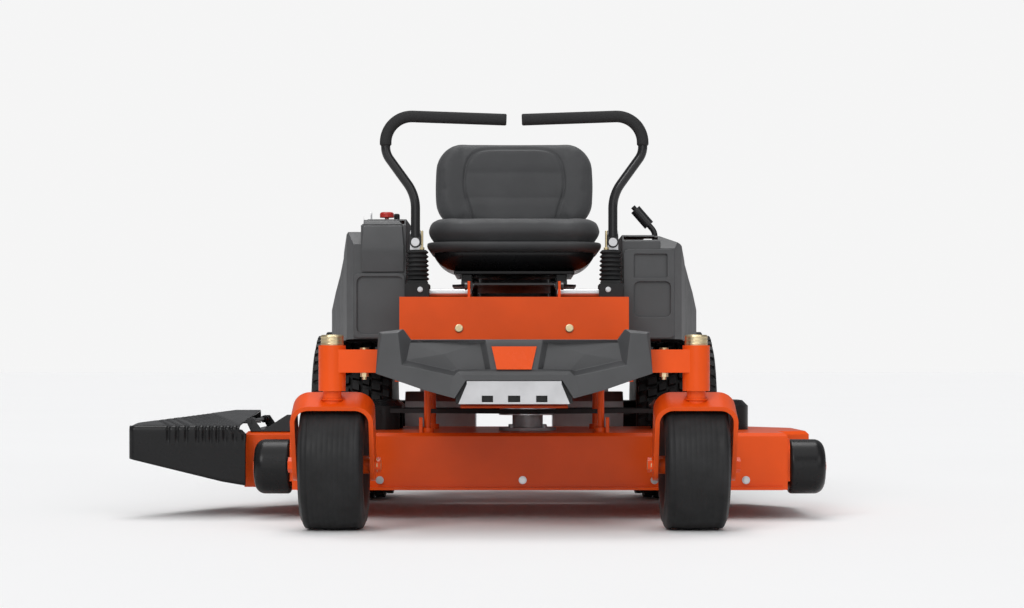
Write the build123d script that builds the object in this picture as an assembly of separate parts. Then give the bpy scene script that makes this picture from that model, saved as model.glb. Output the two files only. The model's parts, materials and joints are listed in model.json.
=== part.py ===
from build123d import *
import math
import os

# ---------------------------------------------------------------------------
# Zero turn mower, millimetres, +Z up, front of the machine towards -Y and
# the operator's left towards +X.  The pieces are drawn with X = 0 on the
# centre plane, Z = 0 on the ground and Y = 0 on the rear axle, and are
# shifted by FRAME_SHIFT when they are written, so that the origin is the
# bottom centre of the whole machine.
# ---------------------------------------------------------------------------

# Driving dimensions
WHEEL_BASE = 1190.0
CASTER_X = 395.0
CASTER_TRAIL = 65.0
FRONT_TYRE_D = 284.0
FRONT_TYRE_W = 141.0
REAR_TYRE_D = 457.0
REAR_TYRE_W = 217.0
REAR_TRACK = 867.0
RAIL_X = 240.0
RAIL_W = 40.0
RAIL_H = 70.0
RAIL_TOP = 395.0
RAIL_REAR_Y = 430.0
CONSOLE_IN = 259.0
CONSOLE_FRONT_Y = -770.0
BUMPER_FRONT = 150.0
GUARD_REAR_Y = 510.0
DECK_BOTTOM_Z = 69.0
DECK_H = 134.0
DECK_WALL = 4.0
DECK_FRONT_Y = -865.0
DECK_REAR_Y = -264.0
BLADE_R = 220.0
BLADE_PITCH = 430.0
BLADE_STAGGER = 135.0
LEVER_X = 235.0
GRIP_Z = 949.0
SEAT_W = 443.0
SEAT_TOP_Z = 727.0
SEAT_BACK_TOP_Z = 959.0

# Clearances
RUN = 0.05          # radial running fit of a shaft in its bore
GAP = 0.3           # curved faces of different bodies that nearly touch
SIDE = 1.0          # side play of a wheel, roller or pulley
HOLE_PLAY = 0.5     # a bolt or barrel in its hole

# Stations worked out from the driving dimensions
FRONT_AXLE_Y = -WHEEL_BASE
CASTER_Y = FRONT_AXLE_Y - CASTER_TRAIL
FRONT_R = FRONT_TYRE_D / 2
REAR_R = REAR_TYRE_D / 2
REAR_X = REAR_TRACK / 2
RAIL_BOTTOM = RAIL_TOP - RAIL_H
RAIL_IN = RAIL_X - RAIL_W / 2
RAIL_OUT = RAIL_X + RAIL_W / 2
DECK_TOP_Z = DECK_BOTTOM_Z + DECK_H

nodes = {}


def box(x0, x1, y0, y1, z0, z1):
    """A block between two opposite corners."""
    centre = Pos((x0 + x1) / 2, (y0 + y1) / 2, (z0 + z1) / 2)
    return centre * Box(abs(x1 - x0), abs(y1 - y0), abs(z1 - z0))


def rod_x(radius, x0, x1, y, z):
    """A round bar along X."""
    return Pos((x0 + x1) / 2, y, z) * Rot(0, 90, 0) * Cylinder(radius, abs(x1 - x0))


def rod_y(radius, y0, y1, x, z):
    """A round bar along Y."""
    return Pos(x, (y0 + y1) / 2, z) * Rot(90, 0, 0) * Cylinder(radius, abs(y1 - y0))


def rod_z(radius, z0, z1, x, y):
    """A round bar along Z."""
    return Pos(x, y, (z0 + z1) / 2) * Cylinder(radius, abs(z1 - z0))


def hex_x(across, x0, x1, y, z):
    """A hexagonal head or nut along X."""
    section = Pos(min(x0, x1), y, z) * Rot(0, 90, 0) * RegularPolygon(across / 2, 6, major_radius=False)
    return extrude(section, abs(x1 - x0), dir=(1, 0, 0))


def hex_y(across, y0, y1, x, z):
    """A hexagonal head or nut along Y."""
    section = Pos(x, min(y0, y1), z) * Rot(90, 0, 0) * RegularPolygon(across / 2, 6, major_radius=False)
    return extrude(section, abs(y1 - y0), dir=(0, 1, 0))


def hex_z(across, z0, z1, x, y):
    """A hexagonal head or nut along Z."""
    section = Pos(x, y, min(z0, z1)) * RegularPolygon(across / 2, 6, major_radius=False)
    return extrude(section, abs(z1 - z0), dir=(0, 0, 1))


def plate_z(points, z0, z1):
    """A plate with a plan outline, between two heights."""
    outline = make_face(Polyline(*[(x, y) for x, y in points], close=True))
    return extrude(Pos(0, 0, z0) * outline, z1 - z0, dir=(0, 0, 1))


def plate_x(points, x0, x1):
    """A plate with a side outline given as (y, z), between two X stations."""
    outline = make_face(Polyline(*[(min(x0, x1), y, z) for y, z in points], close=True))
    return extrude(outline, abs(x1 - x0), dir=(1, 0, 0))


def plate_y(points, y0, y1):
    """A plate with a front outline given as (x, z), between two Y stations."""
    outline = make_face(Polyline(*[(x, min(y0, y1), z) for x, z in points], close=True))
    return extrude(outline, abs(y1 - y0), dir=(0, 1, 0))


def turned_x(points, x, y, z):
    """A body turned about an X line, from (offset along X, radius) points."""
    outline = make_face(Polyline(*[(a, r) for a, r in points], close=True))
    return Pos(x, y, z) * revolve(outline, Axis.X)


def turned_z(points, x, y):
    """A body turned about a Z line, from (radius, z) points."""
    outline = make_face(Polyline(*[(r, 0, h) for r, h in points], close=True))
    return Pos(x, y, 0) * revolve(outline, Axis.Z)


def other_side(piece):
    """The mirror image of a piece across the centre plane."""
    return mirror(piece, Plane.YZ)


def add(name, *pieces):
    """Put one or more separate pieces into a named node."""
    solids = []
    for piece in pieces:
        solids.extend(piece.solids())
    nodes[name] = solids


# ---------------------------------------------------------------------------
# Front casters
# ---------------------------------------------------------------------------
TUBE_R = 29.5
TUBE_BOTTOM_Z = 305.0
TUBE_TOP_Z = 404.0
BEARING_R = 23.5
BEARING_H = 20.0
STEM_R = 12.7
STEM_NUT_R = 16.5
STEM_NUT_H = 9.0
CAP_R = 24.5
CAP_H = 23.0
CAP_WALL = 3.5
FORK_W = 180.0
FORK_T = 10.0
FORK_STRIP = 76.0
FORK_CORNER_R = 40.0
FORK_TOP_Z = 287.0
FORK_FOOT = 34.0
COLLAR_R = 20.0
AXLE_R = 9.5
SPACER_R = 20.0
FRONT_HUB_R = 24.0
FRONT_HUB_HALF = 60.0
NUT_ACROSS = 29.0
NUT_H = 12.0

fork_rise = FORK_TOP_Z - FRONT_R
FORK_TILT = math.degrees(math.atan2(CASTER_TRAIL, fork_rise))
FORK_LENGTH = math.hypot(CASTER_TRAIL, fork_rise)
fork_in = FORK_W / 2 - FORK_T


def tilted(piece, x):
    """Place a piece drawn round the axle, leaning forward to the swivel axis."""
    return Pos(x, FRONT_AXLE_Y, FRONT_R) * Rot(FORK_TILT, 0, 0) * piece


def caster_fork(x):
    """The bent strip, the stem that turns in the bearings, and the axle bolt."""
    half = FORK_W / 2
    outer = Pos(0, 0, (FORK_LENGTH - FORK_FOOT) / 2) * Box(FORK_W, FORK_STRIP, FORK_LENGTH + FORK_FOOT)
    outer = fillet(outer.edges().filter_by(Axis.Y).group_by(Axis.Z)[-1], FORK_CORNER_R)
    inner_h = FORK_LENGTH - FORK_T + FORK_FOOT
    inner = Pos(0, 0, inner_h / 2 - FORK_FOOT) * Box(2 * fork_in, FORK_STRIP, inner_h)
    inner = fillet(inner.edges().filter_by(Axis.Y).group_by(Axis.Z)[-1], FORK_CORNER_R - FORK_T)
    strip = outer - inner
    foot_round = Pos(0, 0, -FORK_FOOT + FORK_STRIP / 2) * Rot(0, 90, 0) * Cylinder(FORK_STRIP / 2, FORK_W)
    foot_keep = Pos(0, 0, FORK_LENGTH / 2 + FORK_STRIP / 4) * Box(FORK_W, FORK_STRIP, FORK_LENGTH + FORK_STRIP / 2)
    strip = strip & (foot_round + foot_keep)
    strip = strip - Rot(0, 90, 0) * Cylinder(AXLE_R + HOLE_PLAY, FORK_W)
    strip = tilted(strip, x)
    below = tilted(Pos(0, 0, FORK_LENGTH - FORK_T / 2 - FORK_STRIP) * Box(FORK_W, 2 * FORK_STRIP, 2 * FORK_STRIP), x)
    collar = rod_z(COLLAR_R, FORK_TOP_Z - FORK_STRIP / 2, TUBE_BOTTOM_Z - GAP, x, CASTER_Y) - below
    stem = rod_z(STEM_R, FORK_TOP_Z, TUBE_TOP_Z + GAP + STEM_NUT_H, x, CASTER_Y)
    nut_z = TUBE_TOP_Z + GAP
    nut = rod_z(STEM_NUT_R, nut_z, nut_z + STEM_NUT_H, x, CASTER_Y)
    fork = strip + collar + stem + nut
    bolt = rod_x(AXLE_R, x - half, x + half, FRONT_AXLE_Y, FRONT_R)
    for side in (-1, 1):
        bolt += hex_x(NUT_ACROSS, x + side * half, x + side * (half + NUT_H), FRONT_AXLE_Y, FRONT_R)
    spacers = []
    for side in (-1, 1):
        near = x + side * (FRONT_HUB_HALF + SIDE)
        spacer = rod_x(SPACER_R, near, x + side * fork_in, FRONT_AXLE_Y, FRONT_R)
        spacers.append(spacer - rod_x(AXLE_R, x - half, x + half, FRONT_AXLE_Y, FRONT_R))
    return fork, bolt, spacers


def tyre(x, y, z, radius, width, bead_r, bead_half, wall, shoulder, crown):
    """A hollow tyre carcass, open towards the rim."""
    half = width / 2
    belly = bead_r + (radius - bead_r) * 0.5
    outside = [
        (bead_half, bead_r),
        (bead_half, bead_r + wall),
        (half - shoulder / 5, bead_r + wall + (belly - bead_r) / 3),
        (half, belly),
        (half - shoulder / 6, radius - shoulder),
        (half - shoulder * 0.45, radius - shoulder * 0.35),
        (half - shoulder, radius - crown),
        (0, radius),
    ]
    inside = [
        (0, radius - crown - wall),
        (half - shoulder, radius - crown - wall),
        (half - wall - shoulder / 6, radius - shoulder),
        (half - wall, belly),
        (bead_half - wall, bead_r + wall * 1.6),
        (bead_half - wall, bead_r),
    ]
    ring = turned_x(outside + inside, 0, 0, 0)
    return Pos(x, y, z) * (ring + other_side(ring))


def rim(x, y, z, bead_r, bead_half, wall, web_side, hub_r, hub_half, bore_r, flange):
    """A pressed rim: barrel, two flanges, a web and a hub."""
    lip = bead_half + wall
    barrel = turned_x([
        (-lip, bead_r + flange), (-bead_half, bead_r + flange), (-bead_half, bead_r),
        (bead_half, bead_r), (bead_half, bead_r + flange), (lip, bead_r + flange),
        (lip, bead_r - wall), (-lip, bead_r - wall)], x, y, z)
    web_x = x + web_side
    web = rod_x(bead_r - wall / 2, web_x - wall / 2, web_x + wall / 2, y, z)
    hub = rod_x(hub_r, x - hub_half, x + hub_half, y, z)
    return barrel + web + hub - rod_x(bore_r, x - 2 * hub_half, x + 2 * hub_half, y, z)


FRONT_BEAD_R = 66.0
FRONT_BEAD_HALF = 46.0
RIM_WALL = 4.0


def front_wheel(x):
    """A free turning front wheel: tyre and rim."""
    ring = tyre(x, FRONT_AXLE_Y, FRONT_R, FRONT_R, FRONT_TYRE_W, FRONT_BEAD_R, FRONT_BEAD_HALF,
                wall=10.0, shoulder=30.0, crown=2.0)
    wheel = rim(x, FRONT_AXLE_Y, FRONT_R, FRONT_BEAD_R, FRONT_BEAD_HALF, RIM_WALL, 0.0,
                FRONT_HUB_R, FRONT_HUB_HALF, AXLE_R + RUN, flange=10.0)
    return ring, wheel


def front_end():
    """Both casters with their wheels."""
    for side, x in (("right", -CASTER_X), ("left", CASTER_X)):
        fork, bolt, spacers = caster_fork(x)
        add("caster_fork_" + side, fork, bolt, *spacers)
        ring, wheel = front_wheel(x)
        add("front_tyre_" + side, ring)
        add("front_rim_" + side, wheel)


front_end()


# ---------------------------------------------------------------------------
# Main frame
# ---------------------------------------------------------------------------
BEAM_SIZE = 50.0
BEAM_WALL = 4.0
BEAM_BOTTOM_Z = 345.0
BEAM_BOLT_X = 325.0
ENGINE_PLATE_T = 6.0
ENGINE_PLATE_HALF = 290.0
ENGINE_PLATE_FRONT_Y = -150.0
ENGINE_PLATE_REAR_Y = 400.0
CRANK_Y = 190.0
CRANK_R = 12.7
PAN_T = 5.0
PAN_HALF = 300.0
PANEL_Y = -860.0
BRACKET_HALF = 125.0
BRACKET_Y = -890.0
BRACKET_BOTTOM_Z = 262.0
HITCH_HOLE_R = 9.5
HITCH_T = 8.0
HITCH_LENGTH = 70.0
HITCH_HALF = 45.0

beam_rear_y = CASTER_Y + BEAM_SIZE / 2
beam_front_y = CASTER_Y - BEAM_SIZE / 2
BEAM_TOP_Z = BEAM_BOTTOM_Z + BEAM_SIZE
HITCH_Y = RAIL_REAR_Y + HITCH_T + HITCH_LENGTH - 28.0


def front_beam():
    """The square cross tube with the two upright caster tubes at its ends."""
    beam = box(-CASTER_X, CASTER_X, beam_front_y, beam_rear_y, BEAM_BOTTOM_Z, BEAM_TOP_Z)
    for x in (-CASTER_X, CASTER_X):
        beam += rod_z(TUBE_R, TUBE_BOTTOM_Z, TUBE_TOP_Z, x, CASTER_Y)
    inside = box(-CASTER_X + TUBE_R, CASTER_X - TUBE_R, beam_front_y + BEAM_WALL, beam_rear_y - BEAM_WALL,
                 BEAM_BOTTOM_Z + BEAM_WALL, BEAM_TOP_Z - BEAM_WALL)
    beam -= inside
    for x in (-CASTER_X, CASTER_X):
        beam -= rod_z(BEARING_R, TUBE_BOTTOM_Z, TUBE_TOP_Z, x, CASTER_Y)
    for x in (-BEAM_BOLT_X, BEAM_BOLT_X):
        beam -= rod_z(BOLT_R + HOLE_PLAY, BEAM_BOTTOM_Z, BEAM_TOP_Z, x, CASTER_Y)
    return beam


def caster_bearings():
    """Two bearings in each caster tube and the cap over its top."""
    pieces = []
    for x in (-CASTER_X, CASTER_X):
        for low in (TUBE_BOTTOM_Z, TUBE_TOP_Z - BEARING_H):
            ring = rod_z(BEARING_R, low, low + BEARING_H, x, CASTER_Y)
            pieces.append(ring - rod_z(STEM_R + RUN, low, low + BEARING_H, x, CASTER_Y))
        top = TUBE_TOP_Z + CAP_H
        cap = rod_z(CAP_R, TUBE_TOP_Z, top, x, CASTER_Y)
        cap = fillet(cap.edges().group_by(Axis.Z)[-1], CAP_WALL)
        cap -= rod_z(CAP_R - CAP_WALL, TUBE_TOP_Z, top - CAP_WALL, x, CASTER_Y)
        pieces.append(cap)
    return pieces


BOLT_R = 5.0
BOLT_HEAD_R = 10.0
BOLT_HEAD_H = 4.0
BOLT_NUT = 16.0
BOLT_NUT_H = 9.0


def frame_bolts():
    """The fasteners of the frame: through bolts of the beam and the panel's domed bolts."""
    pieces = []
    for x in (-BEAM_BOLT_X, BEAM_BOLT_X):
        low = BEAM_BOTTOM_Z - BOLT_NUT_H
        bolt = rod_z(BOLT_R, low - 6.0, BEAM_TOP_Z, x, CASTER_Y)
        bolt += rod_z(BOLT_HEAD_R, BEAM_TOP_Z, BEAM_TOP_Z + BOLT_HEAD_H, x, CASTER_Y)
        bolt += hex_z(BOLT_NUT, low, BEAM_BOTTOM_Z, x, CASTER_Y)
        pieces.append(bolt)
    for x in (-PANEL_BOLT_X, PANEL_BOLT_X):
        head = rod_y(BOLT_HEAD_R, PANEL_Y - BOLT_HEAD_H, PANEL_Y, x, PANEL_BOLT_Z)
        head = fillet(head.edges().group_by(Axis.Y)[0], BOLT_HEAD_H * 0.6)
        pieces.append(head + rod_y(BOLT_R, PANEL_Y, PANEL_Y + PANEL_T + BOLT_HEAD_R, x, PANEL_BOLT_Z))
    return pieces


def frame_rail(x):
    """A box section rail from the front beam to the rear of the machine."""
    rail = box(x - RAIL_W / 2, x + RAIL_W / 2, beam_rear_y, RAIL_REAR_Y, RAIL_BOTTOM, RAIL_TOP)
    return rail - box(x - RAIL_W / 2 + BEAM_WALL, x + RAIL_W / 2 - BEAM_WALL, beam_rear_y, RAIL_REAR_Y,
                      RAIL_BOTTOM + BEAM_WALL, RAIL_TOP - BEAM_WALL)


HANGER_ROD_R = 8.0
HANGER_SLEEVE_R = 15.0
HANGER_TOP_Z = 432.0
HANGERS = tuple((x, y) for x in (RAIL_IN - HANGER_SLEEVE_R, HANGER_SLEEVE_R - RAIL_IN) for y in (-835.0, -480.0))


def hanger_sleeves():
    """The four upright guides on the rails in which the deck hangers slide."""
    guides = Part()
    for x, y in HANGERS:
        sleeve = rod_z(HANGER_SLEEVE_R, RAIL_BOTTOM + 5.0, RAIL_TOP - 5.0, x, y)
        inner, outer = sorted((x, math.copysign(RAIL_IN, x)))
        sleeve += box(inner, outer, y - 8.0, y + 8.0, RAIL_BOTTOM + 5.0, RAIL_TOP - 5.0)
        guides += sleeve
    return guides


def hanger_bores():
    """The bores of the hanger guides."""
    bores = Part()
    for x, y in HANGERS:
        bores += rod_z(HANGER_ROD_R + RUN, RAIL_BOTTOM, RAIL_TOP, x, y)
    return bores


def front_bracket():
    """The folded bracket that hangs between the rails ahead of the deck."""
    cross = box(-RAIL_IN, RAIL_IN, BRACKET_Y - 30.0, BRACKET_Y, RAIL_BOTTOM + 5.0, RAIL_BOTTOM + 35.0)
    plate = box(-BRACKET_HALF, BRACKET_HALF, BRACKET_Y - PAN_T, BRACKET_Y, BRACKET_BOTTOM_Z, RAIL_BOTTOM + 5.0)
    foot = box(-BRACKET_HALF, BRACKET_HALF, BRACKET_Y - 30.0, BRACKET_Y, BRACKET_BOTTOM_Z, BRACKET_BOTTOM_Z + PAN_T)
    return cross + plate + foot


def engine_plate():
    """The plate across the rails that carries the engine."""
    plate = box(-ENGINE_PLATE_HALF, ENGINE_PLATE_HALF, ENGINE_PLATE_FRONT_Y, ENGINE_PLATE_REAR_Y,
                RAIL_TOP, RAIL_TOP + ENGINE_PLATE_T)
    return plate - rod_z(CRANK_HOLE_R, RAIL_TOP, RAIL_TOP + ENGINE_PLATE_T, 0, CRANK_Y)


def hitch_plate():
    """The rear plate across the rails with the hitch tongue and its hole."""
    plate = box(-RAIL_OUT, RAIL_OUT, RAIL_REAR_Y, RAIL_REAR_Y + HITCH_T, RAIL_BOTTOM - 15.0, RAIL_TOP)
    y0 = RAIL_REAR_Y + HITCH_T
    z0 = RAIL_BOTTOM - 15.0
    tongue = box(-HITCH_HALF, HITCH_HALF, y0, y0 + HITCH_LENGTH, z0, z0 + HITCH_T)
    tongue = fillet(tongue.edges().filter_by(Axis.Z).group_by(Axis.Y)[-1], 25.0)
    return plate + tongue - rod_z(HITCH_HOLE_R, z0, z0 + HITCH_T, 0, HITCH_Y)


GUARD_R = 16.0
GUARD_POST_R = 12.0
GUARD_Z = 520.0
GUARD_HALF = 262.0
GUARD_FRONT_Y = 245.0
CRANK_HOLE_R = 60.0


def engine_guard():
    """The round tube that loops behind the engine on two feet."""
    rear = GUARD_REAR_Y - GUARD_R
    foot_z = RAIL_TOP + ENGINE_PLATE_T
    path = FilletPolyline(
        (-GUARD_HALF, GUARD_FRONT_Y, foot_z), (-GUARD_HALF, GUARD_FRONT_Y, GUARD_Z), (-GUARD_HALF, rear, GUARD_Z),
        (GUARD_HALF, rear, GUARD_Z), (GUARD_HALF, GUARD_FRONT_Y, GUARD_Z), (GUARD_HALF, GUARD_FRONT_Y, foot_z),
        radius=70.0)
    tube = sweep(Plane(path @ 0, z_dir=path % 0) * Circle(GUARD_R), path=path)
    for x in (-GUARD_HALF, GUARD_HALF):
        tube += rod_z(GUARD_POST_R, foot_z, GUARD_Z, x, RAIL_REAR_Y - 50.0)
    return tube


def floor_pan():
    """The foot platform between the front beam and the seat platform."""
    pan = box(-PAN_HALF, PAN_HALF, beam_front_y + SIDE, PANEL_Y - SIDE, RAIL_TOP, RAIL_TOP + PAN_T)
    for x in (-BEAM_BOLT_X, BEAM_BOLT_X):
        pan -= rod_z(BOLT_HEAD_R + 2.0, RAIL_TOP, RAIL_TOP + PAN_T, x, CASTER_Y)
    return pan


# ---------------------------------------------------------------------------
# Seat platform and the steering controls
# ---------------------------------------------------------------------------
PANEL_T = 4.0
PANEL_HALF = 270.0
PANEL_FOOT_HALF = 250.0
PANEL_TOP_Z = 523.0
PANEL_CHAMFER_Z = 424.0
PANEL_BOLT_X = 130.0
PANEL_BOLT_Z = 449.0
PLATFORM_REAR_Y = -170.0
CONTROL_Y = -790.0
CONTROL_Z = 534.5
CONTROL_R = 9.5
CONTROL_BRACKET_X = 104.0
CONTROL_BRACKET_T = 6.0
SEAT_HINGE_Y = -822.0
SEAT_HINGE_Z = 549.0
SEAT_HINGE_R = 5.0
BOOT_X = 230.0
BOOT_FOOT_HALF = 28.5
BOOT_TOP_Z = 637.0
BOOT_R = 28.0
ARM_W = 26.0
ARM_T = 8.0
PARK_Z = 655.0
PARK_R = 5.0
ARM_TOP_Z = 690.0
LEVER_R = 11.0
GRIP_R = 14.0
GRIP_INNER_X = 18.6
GRIP_OUTER_X = 306.0
GRIP_RISE = 10.0
GRIP_BEND_R = 62.0
GRIP_START_Z = 885.0
LEVER_KNEE_LOW_Z = 768.0
LEVER_KNEE_HIGH_Z = 866.0


def seat_platform():
    """The folded steel box under the seat: front panel, top, sides and hinge brackets."""
    front = plate_y([(-PANEL_FOOT_HALF, RAIL_TOP), (PANEL_FOOT_HALF, RAIL_TOP),
                     (PANEL_FOOT_HALF, PANEL_CHAMFER_Z), (PANEL_HALF, PANEL_CHAMFER_Z + 20.0),
                     (PANEL_HALF, PANEL_TOP_Z), (-PANEL_HALF, PANEL_TOP_Z),
                     (-PANEL_HALF, PANEL_CHAMFER_Z + 20.0), (-PANEL_FOOT_HALF, PANEL_CHAMFER_Z)],
                    PANEL_Y, PANEL_Y + PANEL_T)
    low = PANEL_TOP_Z - PANEL_T
    top = box(-PANEL_HALF, PANEL_HALF, PANEL_Y, CONSOLE_FRONT_Y - SIDE, low, PANEL_TOP_Z)
    top += box(-CONSOLE_IN, CONSOLE_IN, PANEL_Y, PLATFORM_REAR_Y, low, PANEL_TOP_Z)
    shape = front + top
    for side in (-1, 1):
        wall = sorted((side * PANEL_FOOT_HALF, side * (PANEL_FOOT_HALF - PANEL_T)))
        shape += box(wall[0], wall[1], PANEL_Y, PLATFORM_REAR_Y, RAIL_TOP, PANEL_TOP_Z)
        plate = sorted((side * CONTROL_BRACKET_X, side * (CONTROL_BRACKET_X + CONTROL_BRACKET_T)))
        shape += plate_x([(SEAT_HINGE_Y - 14.0, PANEL_TOP_Z), (CONTROL_Y + 24.0, PANEL_TOP_Z),
                          (CONTROL_Y + 14.0, SEAT_HINGE_Z + 12.0), (SEAT_HINGE_Y - 14.0, SEAT_HINGE_Z + 12.0)],
                         plate[0], plate[1])
    reach = 2 * CONTROL_BRACKET_X
    shape -= rod_x(CONTROL_R + RUN, -reach, reach, CONTROL_Y, CONTROL_Z)
    shape -= rod_x(SEAT_HINGE_R + RUN, -reach, reach, SEAT_HINGE_Y, SEAT_HINGE_Z)
    for x in (-PANEL_BOLT_X, PANEL_BOLT_X):
        shape -= rod_y(BOLT_R, PANEL_Y, PANEL_Y + PANEL_T, x, PANEL_BOLT_Z)
    return shape


def control_boot(side):
    """The rubber bellows round a control arm, hollow for the arm's travel."""
    x = side * BOOT_X
    foot = box(x - BOOT_FOOT_HALF, x + BOOT_FOOT_HALF, CONTROL_Y - 52.0, CONTROL_Y + 52.0,
               PANEL_TOP_Z, PANEL_TOP_Z + 40.0)
    rings = 5
    pitch = (BOOT_TOP_Z - PANEL_TOP_Z - 40.0) / rings
    for index in range(rings):
        low = PANEL_TOP_Z + 40.0 + index * pitch
        foot += rod_z(BOOT_R, low, low + pitch * 0.6, x, CONTROL_Y)
        foot += rod_z(BOOT_R - 5.0, low + pitch * 0.6, low + pitch, x, CONTROL_Y)
    hollow = box(x - BOOT_FOOT_HALF + 3.0, x + BOOT_FOOT_HALF - 3.0, CONTROL_Y - 49.0, CONTROL_Y + 49.0,
                 PANEL_TOP_Z, PANEL_TOP_Z + 37.0)
    hollow += rod_z(BOOT_R - 8.0, PANEL_TOP_Z, BOOT_TOP_Z, x, CONTROL_Y)
    shaft = rod_x(CONTROL_R + HOLE_PLAY, x - BOOT_FOOT_HALF, x + BOOT_FOOT_HALF, CONTROL_Y, CONTROL_Z)
    return foot - hollow - shaft


def control_arm(side):
    """The shaft in its bracket and the flat arm that rises through the boot."""
    inner = side * (CONTROL_BRACKET_X - 2.0)
    x = side * LEVER_X
    shaft = rod_x(CONTROL_R, inner, side * (BOOT_X + 22.0), CONTROL_Y, CONTROL_Z)
    arm = box(x - ARM_W / 2, x + ARM_W / 2, CONTROL_Y - ARM_T / 2, CONTROL_Y + ARM_T / 2, CONTROL_Z, ARM_TOP_Z)
    arm = fillet(arm.edges().filter_by(Axis.Y).group_by(Axis.Z)[-1], ARM_W / 2 - SIDE)
    front = CONTROL_Y - ARM_T / 2
    pin = rod_y(PARK_R, front - GAP - ARM_T - 6.0, front, x, PARK_Z)
    pin += rod_y(2 * PARK_R, front - GAP - ARM_T - 6.0, front - GAP - ARM_T - GAP, x, PARK_Z)
    return shaft + arm + pin


def lever_path(side):
    """The centre line of a lever, from its flattened foot to the end of the grip."""
    x = side * LEVER_X
    outer = side * GRIP_OUTER_X
    y = CONTROL_Y - ARM_T - GAP
    return FilletPolyline(
        (x, y, PARK_Z + ARM_W / 2), (x, y, LEVER_KNEE_LOW_Z), (outer, y, LEVER_KNEE_HIGH_Z),
        (outer, y, GRIP_Z + GRIP_RISE), (side * GRIP_INNER_X, y, GRIP_Z),
        radius=[100.0, 50.0, GRIP_BEND_R])


def steering_lever(side):
    """The bent lever tube and the foam grip on its upper part."""
    path = lever_path(side)
    y = CONTROL_Y - ARM_T - GAP
    start = Plane(path @ 0, z_dir=path % 0)
    tube = sweep(start * Circle(LEVER_R), path=path)
    fat = sweep(start * Circle(GRIP_R), path=path)
    reach = GRIP_OUTER_X + 2 * GRIP_R
    upper = box(-reach, reach, y - GRIP_R, y + GRIP_R, GRIP_START_Z, GRIP_Z + GRIP_RISE + 2 * GRIP_R)
    grip = (fat & upper) - tube
    x = side * LEVER_X
    foot_low = PARK_Z - ARM_W / 2
    foot = box(x - ARM_W / 2, x + ARM_W / 2, y - ARM_T / 2, y + ARM_T / 2, foot_low, PARK_Z + ARM_W)
    foot = fillet(foot.edges().filter_by(Axis.Y), ARM_W / 2 - SIDE)
    swing_room = box(x - LEVER_X / 2, x + LEVER_X / 2, CONTROL_Y - ARM_T / 2 - GAP, CONTROL_Y + GRIP_R + LEVER_R,
                     0, ARM_TOP_Z + LEVER_R)
    lever = (tube + foot) - swing_room
    return lever - rod_y(PARK_R + RUN, y - ARM_T, y + ARM_T, x, PARK_Z), grip


def frame_and_controls():
    """Everything bolted to the rails below the seat, and the steering levers."""
    add("front_beam", front_beam())
    add("caster_bearings", *caster_bearings())
    rails = frame_rail(RAIL_X) + frame_rail(-RAIL_X)
    frame = rails + front_bracket() + engine_plate() + hitch_plate() + hanger_sleeves()
    add("main_frame", frame - hanger_bores())
    add("engine_guard", engine_guard())
    add("floor_pan", floor_pan())
    add("frame_bolts", *frame_bolts())
    add("seat_platform", seat_platform())
    for name, side in (("right", -1), ("left", 1)):
        add("control_boot_" + name, control_boot(side))
        add("control_arm_" + name, control_arm(side))
        lever, grip = steering_lever(side)
        add("steering_lever_" + name, lever)
        add("lever_grip_" + name, grip)


frame_and_controls()


# ---------------------------------------------------------------------------
# Bumper
# ---------------------------------------------------------------------------
BUMPER_HALF = 296.0
BUMPER_EAR_IN = 238.0
BUMPER_EAR_TOP_Z = 438.0
BUMPER_TOP_Z = 416.0
BUMPER_SIDE_Z = 343.0
BUMPER_LOW_Z = 290.0
SKID_TOP_HALF = 101.0
SKID_LOW_HALF = 119.0
SKID_TOP_Z = 321.0
SKID_LOW_Z = 278.0
SKID_T = 6.0
SKID_SLOTS = ((-69.0, -45.0), (-13.0, 13.0), (47.0, 71.0))
BADGE_TOP_HALF = 48.0
BADGE_LOW_HALF = 37.0
BADGE_LOW_Z = 352.0
BADGE_T = 3.0

bumper_front_y = FRONT_AXLE_Y - BUMPER_FRONT
bumper_back_y = beam_front_y


def bumper_cover():
    """The moulded front cover, hollow behind, with a sunk middle panel."""
    half = [
        (0, BUMPER_TOP_Z), (BUMPER_EAR_IN - 14.0, BUMPER_TOP_Z), (BUMPER_EAR_IN, BUMPER_EAR_TOP_Z),
        (BUMPER_HALF - 6.0, BUMPER_EAR_TOP_Z - 6.0), (BUMPER_HALF, BUMPER_SIDE_Z), (268.0, 334.0),
        (193.0, 308.0), (127.0, BUMPER_LOW_Z), (SKID_TOP_HALF + 2.0, SKID_TOP_Z + 6.0), (0, SKID_TOP_Z + 6.0)]
    left = half[1:-1]
    outline = left + [(-x, z) for x, z in reversed(left)]
    shell = plate_y(outline, bumper_front_y, bumper_back_y)
    shell = chamfer(shell.faces().sort_by(Axis.Y)[0].edges(), 7.0)
    inner = [(x * 0.97 if x > 0 else x, z) for x, z in left]
    middle_z = (BUMPER_TOP_Z + BUMPER_LOW_Z) / 2
    inner = [(x, middle_z + (z - middle_z) * 0.88) for x, z in inner]
    cavity = plate_y(inner + [(-x, z) for x, z in reversed(inner)], bumper_front_y + 12.0, bumper_back_y)
    shell -= cavity
    sunk = plate_y([(-212.0, 366.0), (-150.0, 344.0), (150.0, 344.0), (212.0, 366.0), (222.0, 402.0),
                    (-222.0, 402.0)], bumper_front_y, bumper_front_y + 6.0)
    reach = SKID_TOP_HALF + SIDE
    mount = box(-reach, reach, beam_front_y - SKID_T - SIDE, beam_front_y, SKID_TOP_Z, BEAM_BOTTOM_Z + 12.0)
    return shell - sunk - mount


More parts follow.
